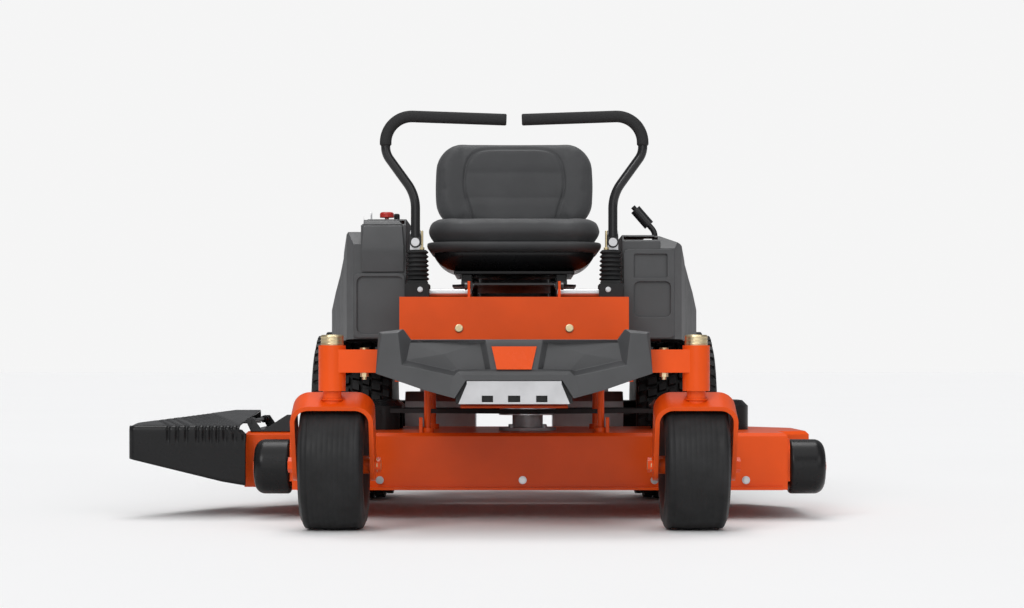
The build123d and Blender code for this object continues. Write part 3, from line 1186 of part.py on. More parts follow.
def deck_shell():
    """The fabricated deck: top, skirt, rolled rim, stiffener, hangers and roller plates."""
    outer = extrude(Pos(0, 0, DECK_BOTTOM_Z) * deck_outline(0.0), DECK_H)
    top_edges = outer.edges().group_by(Axis.Z)[-1]
    outer = chamfer(top_edges, 8.0)
    inner = extrude(Pos(0, 0, DECK_BOTTOM_Z) * deck_outline(DECK_WALL), DECK_H - DECK_WALL)
    inner = chamfer(inner.edges().group_by(Axis.Z)[-1], 8.0)
    shell = outer - inner
    rim_face = deck_outline(-DECK_RIM) - deck_outline(0.0)
    keep = box(DECK_NOTCH_RIGHT_X + DECK_RIM, DECK_NOTCH_LEFT_X - DECK_RIM, DECK_FRONT_Y - DECK_RIM, DECK_FRONT_Y,
               0, 500.0)
    shell += extrude(Pos(0, 0, DECK_BOTTOM_Z) * rim_face, DECK_RIM_H) & keep
    for name, x, y in BLADES:
        shell -= rod_z(SPINDLE_R + HOLE_PLAY, DECK_TOP_Z - 20.0, DECK_TOP_Z + 20.0, x, y)
    shell -= box(DECK_RIGHT_X - 20.0, DECK_RIGHT_X + DECK_WALL + 1.0, DECK_NOTCH_Y + 40.0, CHUTE_REAR_Y - 30.0,
                 DECK_BOTTOM_Z, DECK_TOP_Z - 24.0)
    for x in (-HANGER_X, HANGER_X):
        shell += box(x - 4.0, x + 4.0, DECK_FRONT_Y + 10.0, DECK_FRONT_Y + 50.0, DECK_TOP_Z, DECK_TOP_Z + 36.0)
    for x, y in HANGERS:
        shell += rod_z(HANGER_ROD_R, DECK_TOP_Z - DECK_WALL, HANGER_TOP_Z, x, y)
        shell += rod_z(2 * HANGER_ROD_R, DECK_TOP_Z, DECK_TOP_Z + 12.0, x, y)
    right_x = DECK_NOTCH_RIGHT_X
    left_x = DECK_NOTCH_LEFT_X
    plate = [(DECK_FRONT_Y + 4.0, DECK_BOTTOM_Z + 20.0), (ROLLER_Y + 30.0, DECK_BOTTOM_Z + 20.0),
             (ROLLER_Y + 30.0, DECK_TOP_Z - 14.0), (DECK_FRONT_Y + 14.0, DECK_TOP_Z - 14.0),
             (DECK_FRONT_Y + 4.0, DECK_TOP_Z - 34.0)]
    shell += plate_x(plate, right_x - ROLLER_PLATE_T, right_x)
    shell += plate_x(plate, left_x, left_x + ROLLER_PLATE_T)
    for inner_x, side in ((right_x, -1), (left_x, 1)):
        face = inner_x + side * ROLLER_PLATE_T
        reach = face + side * (2 * SIDE + ROLLER_W)
        shell += rod_x(ROLLER_BOLT_R, face, reach + side * SIDE, ROLLER_Y, ROLLER_Z)
        shell += rod_x(ROLLER_BOLT_R + 5.0, reach, reach + side * 4.0, ROLLER_Y, ROLLER_Z)
    return shell


def anti_scalp_roller(side):
    """A free turning barrel roller on its bolt beside a front corner of the deck."""
    base = DECK_NOTCH_LEFT_X if side > 0 else DECK_NOTCH_RIGHT_X
    near = base + side * (ROLLER_PLATE_T + SIDE)
    barrel = rod_x(ROLLER_R, near, near + side * ROLLER_W, ROLLER_Y, ROLLER_Z)
    outer_edge = barrel.edges().sort_by(Axis.X)[-1 if side > 0 else 0]
    inner_edge = barrel.edges().sort_by(Axis.X)[0 if side > 0 else -1]
    barrel = fillet([outer_edge], 24.0)
    inner_edge = barrel.edges().filter_by(GeomType.CIRCLE).sort_by(Axis.X)[0 if side > 0 else -1]
    barrel = fillet([inner_edge], 8.0)
    return barrel - rod_x(ROLLER_BOLT_R + RUN, near - side, near + side * (ROLLER_W + 1.0), ROLLER_Y, ROLLER_Z)


def spindle_housing(x, y):
    """A spindle housing through the deck top, with its flange and four bolts."""
    body = rod_z(SPINDLE_R, SPINDLE_LOW_Z, SPINDLE_TOP_Z, x, y)
    body += rod_z(SPINDLE_FLANGE_R, DECK_TOP_Z, DECK_TOP_Z + 7.0, x, y)
    for index in range(4):
        angle = math.radians(45.0 + 90.0 * index)
        at = SPINDLE_FLANGE_R - 14.0
        body += hex_z(13.0, DECK_TOP_Z + 7.0, DECK_TOP_Z + 14.0, x + at * math.cos(angle), y + at * math.sin(angle))
    return body - rod_z(BLADE_SHAFT_R + RUN, SPINDLE_LOW_Z, SPINDLE_TOP_Z, x, y)


def blade(x, y, turn):
    """One blade with its shaft, spacer, bolt and pulley."""
    bar = Box(2 * BLADE_R - 12.0, BLADE_W, BLADE_T)
    for side in (-1, 1):
        wing = plate_x([(-BLADE_W / 2, 0.0), (-BLADE_W / 2 + 14.0, 0.0), (-BLADE_W / 2 + 4.0, 26.0),
                        (-BLADE_W / 2, 26.0)], BLADE_R - 96.0, BLADE_R - 14.0)
        bar += Rot(0, 0, 0 if side > 0 else 180.0) * wing
        edge = plate_x([(BLADE_W / 2 - 16.0, BLADE_T / 2), (BLADE_W / 2, BLADE_T / 2),
                        (BLADE_W / 2, -BLADE_T / 2 + 1.0)], BLADE_R - 106.0, BLADE_R)
        bar -= Rot(0, 0, 0 if side > 0 else 180.0) * edge
    bar = Pos(x, y, BLADE_Z + BLADE_T / 2) * Rot(0, 0, turn) * bar
    shaft = rod_z(BLADE_SHAFT_R, BLADE_Z + BLADE_T, SPINDLE_TOP_Z + 24.0, x, y)
    spacer = rod_z(20.0, BLADE_Z + BLADE_T, SPINDLE_LOW_Z - SIDE, x, y)
    bolt = hex_z(24.0, BLADE_Z - 9.0, BLADE_Z, x, y)
    low = SPINDLE_TOP_Z + SIDE
    rim_r = DECK_PULLEY_R
    pulley = turned_z([(0, low), (rim_r, low), (rim_r, low + 3.0), (rim_r - 9.0, low + 9.0),
                       (rim_r, low + 15.0), (rim_r, low + 18.0), (0, low + 18.0)], x, y)
    return bar + spacer + shaft + bolt + pulley


COVER_HALF_X = 120.0
COVER_HALF_Y = 105.0
COVER_TOP_Z = 276.0
COVER_WALL = 3.0


def belt_cover(x, y):
    """A moulded cover over a side pulley, open below and towards the machine's middle."""
    inward = -1 if x > 0 else 1
    outer = box(x - COVER_HALF_X, x + COVER_HALF_X, y - COVER_HALF_Y, y + COVER_HALF_Y, DECK_TOP_Z, COVER_TOP_Z)
    outer = fillet(outer.edges().filter_by(Axis.Z), 50.0)
    outer = chamfer(outer.edges().group_by(Axis.Z)[-1], 14.0)
    w = COVER_WALL
    inner = box(x - COVER_HALF_X + w, x + COVER_HALF_X - w, y - COVER_HALF_Y + w, y + COVER_HALF_Y - w,
                DECK_TOP_Z, COVER_TOP_Z - w)
    inner = fillet(inner.edges().filter_by(Axis.Z), 50.0 - w)
    inner = chamfer(inner.edges().group_by(Axis.Z)[-1], 14.0)
    mouth = sorted((x + inward * (COVER_HALF_X - 60.0), x + inward * (COVER_HALF_X + 10.0)))
    return outer - inner - box(mouth[0], mouth[1], y - 80.0, y + 80.0, DECK_TOP_Z, COVER_TOP_Z - 20.0)


DEFLECTOR_TIP_X = -916.0
DEFLECTOR_ROOT_X = -655.0
DEFLECTOR_FRONT_Y = -811.0
DEFLECTOR_REAR_Y = -350.0
DEFLECTOR_REAR_X = -718.0
DEFLECTOR_FRONT_Z = 220.0
DEFLECTOR_RISE = 32.0
DEFLECTOR_TIP_LOW_Z = 140.0
DEFLECTOR_ROOT_LOW_Z = 76.0
DEFLECTOR_WALL = 5.0
HINGE_X = -638.0
HINGE_Z = 226.0
HINGE_PIN_R = 5.0
KNUCKLE_R = 9.0
HINGE_EARS = (-722.0, -372.0)
HINGE_EAR_T = 8.0


def deflector_block(inset):
    """The deflector's outer or, with an inset, inner shape."""
    rise = DEFLECTOR_RISE / (DEFLECTOR_REAR_Y - DEFLECTOR_FRONT_Y)
    plan = make_face(Polyline(
        (DEFLECTOR_ROOT_X, DEFLECTOR_FRONT_Y), (DEFLECTOR_TIP_X, DEFLECTOR_FRONT_Y),
        (DEFLECTOR_TIP_X, DEFLECTOR_FRONT_Y + 70.0), (DEFLECTOR_REAR_X, DEFLECTOR_REAR_Y),
        (DEFLECTOR_ROOT_X, DEFLECTOR_REAR_Y), close=True))
    plan = offset(plan, -inset, kind=Kind.INTERSECTION) if inset else plan
    block = extrude(plan, 400.0)
    y0 = DEFLECTOR_FRONT_Y - 20.0
    y1 = DEFLECTOR_REAR_Y + 20.0
    under = plate_x([(y0, -50.0), (y1, -50.0), (y1, DEFLECTOR_FRONT_Z + DEFLECTOR_RISE + 20.0 * rise - inset),
                     (y0, DEFLECTOR_FRONT_Z - 20.0 * rise - inset)], -1000.0, -500.0)
    return block & under


def deflector():
    """The moulded discharge deflector: top, front and outer walls, with hinge knuckles."""
    shell = deflector_block(0.0) - deflector_block(DEFLECTOR_WALL)
    slope = (DEFLECTOR_ROOT_LOW_Z - DEFLECTOR_TIP_LOW_Z) / (DEFLECTOR_ROOT_X - DEFLECTOR_TIP_X)
    far_z = DEFLECTOR_TIP_LOW_Z - slope * 50.0
    near_z = DEFLECTOR_ROOT_LOW_Z + slope * 50.0
    low = plate_y([(DEFLECTOR_TIP_X - 50.0, far_z), (DEFLECTOR_ROOT_X + 50.0, near_z),
                   (DEFLECTOR_ROOT_X + 50.0, -200.0), (DEFLECTOR_TIP_X - 50.0, -200.0)], -1000.0, -200.0)
    shell -= low
    inner_y = DEFLECTOR_FRONT_Y + DEFLECTOR_WALL
    rear_room = DEFLECTOR_REAR_Y - 2 * DEFLECTOR_WALL
    roof = DEFLECTOR_FRONT_Z - DEFLECTOR_WALL
    shell -= box(DEFLECTOR_ROOT_X - DEFLECTOR_WALL, DEFLECTOR_ROOT_X + 2.0, inner_y, DEFLECTOR_REAR_Y + 2.0,
                 -50.0, roof - 4.0)
    shell -= box(DEFLECTOR_REAR_X + 8.0, DEFLECTOR_ROOT_X + 2.0, rear_room, DEFLECTOR_REAR_Y + 2.0, -50.0, roof - 4.0)
    knuckles = []
    span = HINGE_EARS[1] - HINGE_EARS[0] - HINGE_EAR_T
    first = HINGE_EARS[0] + HINGE_EAR_T / 2 + SIDE
    for y0, y1 in ((first, first + 60.0), (first + span - 62.0, first + span - 2 * SIDE)):
        knuckle = rod_y(KNUCKLE_R, y0, y1, HINGE_X, HINGE_Z)
        web = box(DEFLECTOR_ROOT_X - 3.0, HINGE_X, y0, y1, HINGE_Z - 5.0, HINGE_Z - 1.0)
        knuckles.append((knuckle + web) - rod_y(HINGE_PIN_R + RUN, y0, y1, HINGE_X, HINGE_Z))
    for knuckle in knuckles:
        shell += knuckle
    return shell


def deflector_hinge():
    """The hinge bracket on the deck top: two ears, the pin, and the front gusset."""
    low = DECK_TOP_Z
    ear = [(HINGE_X - 9.0, HINGE_Z), (HINGE_X - 6.0, HINGE_Z + 9.0), (HINGE_X + 8.0, HINGE_Z + 9.0),
           (HINGE_X + 30.0, low), (HINGE_X + 2.0, low)]
    bracket = box(HINGE_X + 2.0, HINGE_X + 60.0, HINGE_EARS[0] - 10.0, HINGE_EARS[1] + 10.0, low, low + 4.0)
    for y in HINGE_EARS:
        bracket += plate_y(ear, y - HINGE_EAR_T / 2, y + HINGE_EAR_T / 2)
    bracket += rod_y(HINGE_PIN_R, HINGE_EARS[0] - 8.0, HINGE_EARS[1] + 8.0, HINGE_X, HINGE_Z)
    gusset = plate_y([(-610.0, low), (DECK_NOTCH_RIGHT_X, low), (DECK_NOTCH_RIGHT_X - 8.0, low + 40.0),
                      (-548.0, low + 40.0)], HINGE_EARS[0] - 10.0, HINGE_EARS[0] - 4.0)
    return bracket + gusset


def cutting_deck():
    """The deck with spindles, covers, blades, rollers and the discharge deflector."""
    add("deck_shell", deck_shell())
    add("deck_spindles", *[spindle_housing(x, y) for name, x, y in BLADES])
    for (name, x, y), turn in zip(BLADES, (62.0, 18.0, -50.0)):
        add("blade_" + name, blade(x, y, turn))
    add("belt_covers", belt_cover(BLADES[0][1], SIDE_BLADE_Y), belt_cover(BLADES[2][1], SIDE_BLADE_Y))
    add("deck_roller_right", anti_scalp_roller(-1))
    add("deck_roller_left", anti_scalp_roller(1))
    add("deflector", deflector())
    add("deflector_hinge", deflector_hinge())


cutting_deck()


# ---------------------------------------------------------------------------
# Writing
# ---------------------------------------------------------------------------
LEFT_EXTENT = DECK_NOTCH_LEFT_X + ROLLER_PLATE_T + 2 * SIDE + ROLLER_W + 4.0
RIGHT_EXTENT = DEFLECTOR_TIP_X
FRONT_EXTENT = bumper_front_y
REAR_EXTENT = GUARD_REAR_Y
FRAME_SHIFT = (-(LEFT_EXTENT + RIGHT_EXTENT) / 2, -(FRONT_EXTENT + REAR_EXTENT) / 2, 0.0)


def write_parts():
    """Write one STEP file for each node, in the frame of the whole machine."""
    os.makedirs("parts", exist_ok=True)
    for name, solids in nodes.items():
        shape = solids[0] if len(solids) == 1 else Compound(children=solids)
        export_step(Pos(*FRAME_SHIFT) * shape, "parts/" + name + ".step")


write_parts()
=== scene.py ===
import json
import math

import bmesh
import bpy
from mathutils import Matrix, Vector


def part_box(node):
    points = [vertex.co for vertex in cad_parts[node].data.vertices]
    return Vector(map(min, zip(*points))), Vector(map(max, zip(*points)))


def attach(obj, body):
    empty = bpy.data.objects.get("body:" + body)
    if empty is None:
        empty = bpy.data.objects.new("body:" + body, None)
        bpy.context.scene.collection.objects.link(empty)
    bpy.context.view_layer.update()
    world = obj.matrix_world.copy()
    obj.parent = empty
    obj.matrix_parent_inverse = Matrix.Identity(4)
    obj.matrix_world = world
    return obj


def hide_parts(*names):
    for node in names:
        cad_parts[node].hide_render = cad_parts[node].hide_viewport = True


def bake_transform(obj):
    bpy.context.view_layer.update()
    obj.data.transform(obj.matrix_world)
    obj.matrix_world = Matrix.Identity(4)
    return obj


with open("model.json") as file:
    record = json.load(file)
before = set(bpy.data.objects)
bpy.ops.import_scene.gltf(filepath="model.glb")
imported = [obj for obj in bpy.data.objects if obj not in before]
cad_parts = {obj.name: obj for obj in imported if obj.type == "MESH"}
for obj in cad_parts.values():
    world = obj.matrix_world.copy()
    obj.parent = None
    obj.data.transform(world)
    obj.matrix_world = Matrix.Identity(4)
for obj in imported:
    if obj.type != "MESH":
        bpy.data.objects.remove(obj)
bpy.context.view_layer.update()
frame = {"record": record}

# ---- The frame: everything is placed from the CAD nodes' boxes, in metres ----
NODES = {entry["node"]: entry["material_slot"] for entry in frame["record"]["subparts"]}
SIDES = {"right": -1.0, "left": 1.0}
MM = 0.001


def span(node):
    """The lowest and highest corners of a CAD node, and its middle."""
    low, high = (Vector(corner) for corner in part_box(node))
    return low, high, (low + high) / 2


MID_X = span("main_frame")[2].x
FRONT_AXLE = span("front_tyre_left")[2]
FRAME_Y = 415 * MM  # how far the frame is moved along Y from the rear axle line


# ---- Materials ----
class Shader:
    """A small helper that builds one procedural material."""

    def __init__(self, name):
        self.material = bpy.data.materials.new(name)
        self.material.use_nodes = True
        self.nodes = self.material.node_tree.nodes
        self.links = self.material.node_tree.links
        self.bsdf = self.nodes["Principled BSDF"]
        self.coords = self.nodes.new("ShaderNodeTexCoord").outputs["Object"]

    def set(self, **sockets):
        """Set constants on the shader's own sockets."""
        for name, value in sockets.items():
            self.bsdf.inputs[name.replace("_", " ")].default_value = value

    def noise(self, scale, detail=3.0, roughness=0.5, stretch=None):
        """A noise factor, optionally stretched along the axes."""
        source = self.coords
        if stretch:
            mapping = self.nodes.new("ShaderNodeMapping")
            mapping.inputs["Scale"].default_value = stretch
            self.links.new(source, mapping.inputs["Vector"])
            source = mapping.outputs["Vector"]
        node = self.nodes.new("ShaderNodeTexNoise")
        node.inputs["Scale"].default_value = scale
        node.inputs["Detail"].default_value = detail
        node.inputs["Roughness"].default_value = roughness
        self.links.new(source, node.inputs["Vector"])
        return node.outputs["Fac"]

    def cells(self, scale):
        """A cellular factor for grain."""
        node = self.nodes.new("ShaderNodeTexVoronoi")
        node.inputs["Scale"].default_value = scale
        self.links.new(self.coords, node.inputs["Vector"])
        return node.outputs["Distance"]

    def ramp(self, factor, stops):
        """A colour ramp over a factor."""
        node = self.nodes.new("ShaderNodeValToRGB")
        elements = node.color_ramp.elements
        while len(elements) < len(stops):
            elements.new(0.5)
        for element, (place, colour) in zip(elements, stops):
            element.position = place
            element.color = (*colour, 1.0)
        self.links.new(factor, node.inputs["Fac"])
        return node.outputs["Color"]

    def mottle(self, factor, colour, dark, light):
        """A colour made darker and lighter over a factor; each end is (place, brightness)."""
        return self.ramp(factor, [(place, shade(colour, level)) for place, level in (dark, light)])

    def remap(self, factor, low, high):
        """A factor mapped to a range."""
        node = self.nodes.new("ShaderNodeMapRange")
        node.inputs["To Min"].default_value = low
        node.inputs["To Max"].default_value = high
        self.links.new(factor, node.inputs["Value"])
        return node.outputs["Result"]

    def painted_edge_highlight(self, colour, highlight_colour, amount):
        """Painted highlight: lighter colour along sharp edges, standing in for light caught on them."""
        geometry = self.nodes.new("ShaderNodeNewGeometry")
        bevel = self.nodes.new("ShaderNodeBevel")
        bevel.samples = 4
        bevel.inputs["Radius"].default_value = 2.5 * MM
        dot = self.nodes.new("ShaderNodeVectorMath")
        dot.operation = "DOT_PRODUCT"
        self.links.new(geometry.outputs["Normal"], dot.inputs[0])
        self.links.new(bevel.outputs["Normal"], dot.inputs[1])
        edge = self.nodes.new("ShaderNodeMapRange")
        edge.inputs["From Min"].default_value = 0.99
        edge.inputs["From Max"].default_value = 0.85
        edge.inputs["To Max"].default_value = amount
        self.links.new(dot.outputs["Value"], edge.inputs["Value"])
        mix = self.nodes.new("ShaderNodeMix")
        mix.data_type = "RGBA"
        self.links.new(edge.outputs["Result"], mix.inputs["Factor"])
        self.links.new(colour, mix.inputs["A"])
        # the painted highlight's colour, mixed in along the edges
        mix.inputs["B"].default_value = (*highlight_colour, 1.0)
        return mix.outputs["Result"]

    def colour(self, source):
        self.links.new(source, self.bsdf.inputs["Base Color"])

    def rough(self, source):
        self.links.new(source, self.bsdf.inputs["Roughness"])

    def bump(self, factor, distance, strength=1.0, bevel=0.0):
        """Fine relief over softly rounded edges."""
        node = self.nodes.new("ShaderNodeBump")
        node.inputs["Distance"].default_value = distance
        node.inputs["Strength"].default_value = strength
        self.links.new(factor, node.inputs["Height"])
        if bevel:
            rounded = self.nodes.new("ShaderNodeBevel")
            rounded.samples = 6
            rounded.inputs["Radius"].default_value = bevel
            self.links.new(rounded.outputs["Normal"], node.inputs["Normal"])
        self.links.new(node.outputs["Normal"], self.bsdf.inputs["Normal"])


def shade(colour, factor):
    """A colour scaled in brightness."""
    return tuple(min(1.0, channel * factor) for channel in colour)


def paint(name, colour, roughness, coat, flake=0.06, bevel=1.5 * MM):
    """Powder coat: slight orange peel, dust in the colour, softly rounded edges with a painted highlight
    along them.
    """
    shader = Shader(name)
    shader.set(Coat_Weight=coat, Coat_Roughness=0.12, IOR=1.5, Specular_IOR_Level=0.14)
    mottled = shader.mottle(shader.noise(9.0, 5.0), colour, (0.3, 1 - flake), (0.7, 1 + flake))
    # painted highlight: the paint made lighter along its sharp edges
    shader.colour(shader.painted_edge_highlight(mottled, shade(colour, 1.35), 0.35))
    shader.rough(shader.remap(shader.noise(60.0, 4.0), roughness - 0.05, roughness + 0.08))
    shader.bump(shader.noise(420.0, 2.0), 0.25 * MM, 0.12, bevel)
    return shader.material


def moulding(name, colour, roughness, grain_scale, grain_depth, bevel=1.5 * MM, highlight_amount=0.25, gloss=0.5):
    """Moulded plastic: a fine cellular grain and edges painted paler as a highlight."""
    shader = Shader(name)
    shader.set(IOR=1.48, Specular_IOR_Level=gloss)
    mottled = shader.mottle(shader.noise(14.0, 6.0), colour, (0.3, 0.9), (0.72, 1.12))
    # painted highlight: the plastic made much lighter along its sharp edges
    shader.colour(shader.painted_edge_highlight(mottled, shade(colour, 1.9), highlight_amount))
    shader.rough(shader.remap(shader.noise(35.0, 5.0), roughness - 0.06, roughness + 0.09))
    shader.bump(shader.cells(grain_scale), grain_depth, 0.35, bevel)
    return shader.material


def metal(name, colour, roughness, stretch, tint=None, bevel=0.8 * MM):
    """Plated or brushed metal: directional streaks and an uneven tint."""
    shader = Shader(name)
    shader.set(Metallic=1.0)
    tint = tint or shade(colour, 1.08)
    shader.colour(shader.ramp(shader.noise(22.0, 6.0), [(0.32, shade(colour, 0.92)), (0.68, tint)]))
    streak = shader.noise(50.0, 4.0, 0.6, stretch)
    shader.rough(shader.remap(streak, roughness - 0.08, roughness + 0.14))
    shader.bump(streak, 0.1 * MM, 0.2, bevel)
    return shader.material


def rubber(name, colour, roughness, scale, depth):
    """Rubber: dusty mottling over a fine matt skin."""
    shader = Shader(name)
    shader.set(IOR=1.45, Specular_IOR_Level=0.25)
    shader.colour(shader.mottle(shader.noise(18.0, 8.0, 0.65), colour, (0.35, 0.8), (0.75, 1.7)))
    shader.rough(shader.remap(shader.noise(40.0, 5.0), roughness - 0.08, roughness + 0.12))
    shader.bump(shader.noise(scale, 4.0), depth, 0.4, 0.8 * MM)
    return shader.material


def vinyl(name, colour):
    """Seat vinyl: leather grain of cells under a soft sheen."""
    shader = Shader(name)
    shader.set(IOR=1.46, Specular_IOR_Level=0.3, Sheen_Weight=0.12, Sheen_Roughness=0.5)
    shader.colour(shader.mottle(shader.noise(11.0, 6.0), colour, (0.3, 0.88), (0.7, 1.1)))
    grain = shader.cells(620.0)
    shader.rough(shader.remap(grain, 0.46, 0.62))
    shader.bump(grain, 0.35 * MM, 0.45)
    return shader.material


def foam(name, colour):
    """Foam grip: open cells, very rough."""
    shader = Shader(name)
    shader.set(IOR=1.4, Specular_IOR_Level=0.25)
    cells = shader.cells(900.0)
    shader.colour(shader.mottle(cells, colour, (0.1, 0.6), (0.6, 1.5)))
    shader.rough(shader.remap(cells, 0.62, 0.8))
    shader.bump(cells, 0.4 * MM, 0.5)
    return shader.material


ORANGE = (0.7, 0.074, 0.005)
MATERIALS = {
    "orange_paint": paint("orange_paint", ORANGE, 0.32, 0.12),
    "badge_orange": paint("badge_orange", (0.7, 0.075, 0.007), 0.25, 0.2, bevel=0.8 * MM),
    "black_paint": paint("black_paint", (0.012, 0.012, 0.013), 0.3, 0.4, flake=0.2),
    "rim_paint": paint("rim_paint", (0.02, 0.02, 0.021), 0.4, 0.25, flake=0.2),
    "grey_plastic": moulding("grey_plastic", (0.048, 0.049, 0.051), 0.42, 700.0, 0.3 * MM),
    # black plastic takes a fainter painted highlight on its edges
    "black_plastic": moulding("black_plastic", (0.008, 0.008, 0.0085), 0.27, 520.0, 0.2 * MM,
                              highlight_amount=0.15, gloss=0.22),
    "red_plastic": moulding("red_plastic", (0.45, 0.018, 0.012), 0.28, 400.0, 0.1 * MM),
    "bright_plate": metal("bright_plate", (0.5, 0.5, 0.51), 0.34, (0.6, 9.0, 9.0)),
    "yellow_zinc": metal("yellow_zinc", (0.62, 0.5, 0.28), 0.3, (4.0, 4.0, 1.0), tint=(0.78, 0.66, 0.42)),
    "steel": metal("steel", (0.5, 0.5, 0.51), 0.32, (1.0, 8.0, 8.0)),
    "cast_metal": metal("cast_metal", (0.4, 0.4, 0.41), 0.5, (1.0, 1.0, 1.0)),
    "rubber": rubber("rubber", (0.014, 0.014, 0.0145), 0.55, 500.0, 0.15 * MM),
    "tyre": rubber("tyre", (0.011, 0.011, 0.0115), 0.48, 650.0, 0.2 * MM),
    "foam": foam("foam", (0.018, 0.018, 0.0185)),
    "vinyl": vinyl("vinyl", (0.047, 0.048, 0.050)),
}


def dress(obj, slot):
    """Give an object one procedural material."""
    obj.data.materials.clear()
    obj.data.materials.append(MATERIALS[slot])


def dress_nodes():
    """Every CAD node takes its slot's procedural material."""
    for node, slot in NODES.items():
        obj = bpy.data.objects[node]
        if not obj.material_slots:
            obj.data.materials.append(MATERIALS[slot])
        for entry in obj.material_slots:
            entry.link = "OBJECT"
            entry.material = MATERIALS[slot]


dress_nodes()


# ---- Mesh helpers ----
def adopt(name, mesh, slot, body, replaced=()):
    """A mesh as a visual piece: material, body and the CAD nodes it stands for."""
    obj = bpy.data.objects.new(name, mesh)
    bpy.context.collection.objects.link(obj)
    dress(obj, slot)
    if body:
        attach(obj, body)
    if replaced:
        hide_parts(*replaced)
    return obj


def make(name, verts, faces, slot, body, replaced=(), smooth=True):
    """A visual piece from vertices and faces, with its normals outwards."""
    mesh = bpy.data.meshes.new(name)
    mesh.from_pydata([tuple(v) for v in verts], [], [tuple(f) for f in faces])
    mesh.validate()
    sheet = bmesh.new()
    sheet.from_mesh(mesh)
    bmesh.ops.recalc_face_normals(sheet, faces=sheet.faces)
    sheet.to_mesh(mesh)
    sheet.free()
    for polygon in mesh.polygons:
        polygon.use_smooth = smooth
    return adopt(name, mesh, slot, body, replaced)


def bevelled(obj, width, segments=2, angle=35.0):
    """Round the sharp edges of a piece."""
    modifier = obj.modifiers.new("bevel", "BEVEL")
    modifier.width = width
    modifier.segments = segments
    modifier.limit_method = "ANGLE"
    modifier.angle_limit = math.radians(angle)
    modifier.harden_normals = True


def walled(obj, thickness):
    """Give a sheet a wall behind its face."""
    modifier = obj.modifiers.new("wall", "SOLIDIFY")
    modifier.thickness = thickness
    modifier.offset = -1.0


def ring_faces(rings, count, closed=True):
    """Faces between successive rings of vertices."""
    faces = []
    for ring in range(rings if closed else rings - 1):
        nxt = (ring + 1) % rings
        for step in range(count):
            after = (step + 1) % count
            first, second = ring * count, nxt * count
            faces.append((first + step, first + after, second + after, second + step))
    return faces


def lathe(profile, centre, axis, steps):
    """Vertices and faces of a closed profile of (along, radius) turned about X or Z."""
    verts = []
    for step in range(steps):
        angle = 2 * math.pi * step / steps
        for along, radius in profile:
            a, b = radius * math.cos(angle), radius * math.sin(angle)
            offset = Vector((along, a, b)) if axis == "x" else Vector((a, b, along))
            verts.append(centre + offset)
    return verts, ring_faces(steps, len(profile))


def tube(path, radius, sides=20):
    """Vertices and faces of a round bar along points, capped at both ends."""
    verts = []
    points = [Vector(p) for p in path]
    side = None
    for index, point in enumerate(points):
        before = points[max(index - 1, 0)]
        after = points[min(index + 1, len(points) - 1)]
        along = (after - before).normalized()
        if side is None:
            side = along.orthogonal().normalized()
        side = (side - along * side.dot(along)).normalized()
        other = along.cross(side)
        r = radius[index] if isinstance(radius, (list, tuple)) else radius
        for step in range(sides):
            angle = 2 * math.pi * step / sides
            verts.append(point + side * (r * math.cos(angle)) + other * (r * math.sin(angle)))
    faces = ring_faces(len(points), sides, closed=False)
    faces.append(tuple(reversed(range(sides))))
    faces.append(tuple(range((len(points) - 1) * sides, len(points) * sides)))
    return verts, faces


def block(low, high):
    """Vertices and faces of a rectangular block."""
    xs, ys, zs = (low[0], high[0]), (low[1], high[1]), (low[2], high[2])
    verts = [(x, y, z) for z in zs for y in ys for x in xs]
    faces = [(0, 2, 3, 1), (4, 5, 7, 6), (0, 1, 5, 4), (2, 6, 7, 3), (0, 4, 6, 2), (1, 3, 7, 5)]
    return verts, faces


def prism_faces(count):
    """Faces between two copies of an outline, with both ends closed."""
    faces = [tuple(range(count)), tuple(reversed(range(count, 2 * count)))]
    for step in range(count):
        after = (step + 1) % count
        faces.append((step, step + count, after + count, after))
    return faces


def join(*shapes):
    """Several vertex and face lists as one."""
    verts, faces = [], []
    for more_verts, more_faces in shapes:
        base = len(verts)
        verts.extend(more_verts)
        faces.extend(tuple(base + index for index in face) for face in more_faces)
    return verts, faces


def round_corner(before, corner, after, radius, steps):
    """Points round a corner between three places."""
    back = (before - corner).normalized()
    ahead = (after - corner).normalized()
    half = back.angle(ahead) / 2
    reach = radius / math.tan(half)
    centre = corner + (back + ahead).normalized() * (radius / math.sin(half))
    start = corner + back * reach - centre
    end = corner + ahead * reach - centre
    total = start.angle(end)
    points = []
    for step in range(steps + 1):
        share = step / steps
        first = start * math.sin((1 - share) * total)
        second = end * math.sin(share * total)
        points.append(centre + (first + second) / math.sin(total))
    return points


def clamp(value):
    """A value held between 0 and 1."""
    return max(0.0, min(1.0, value))


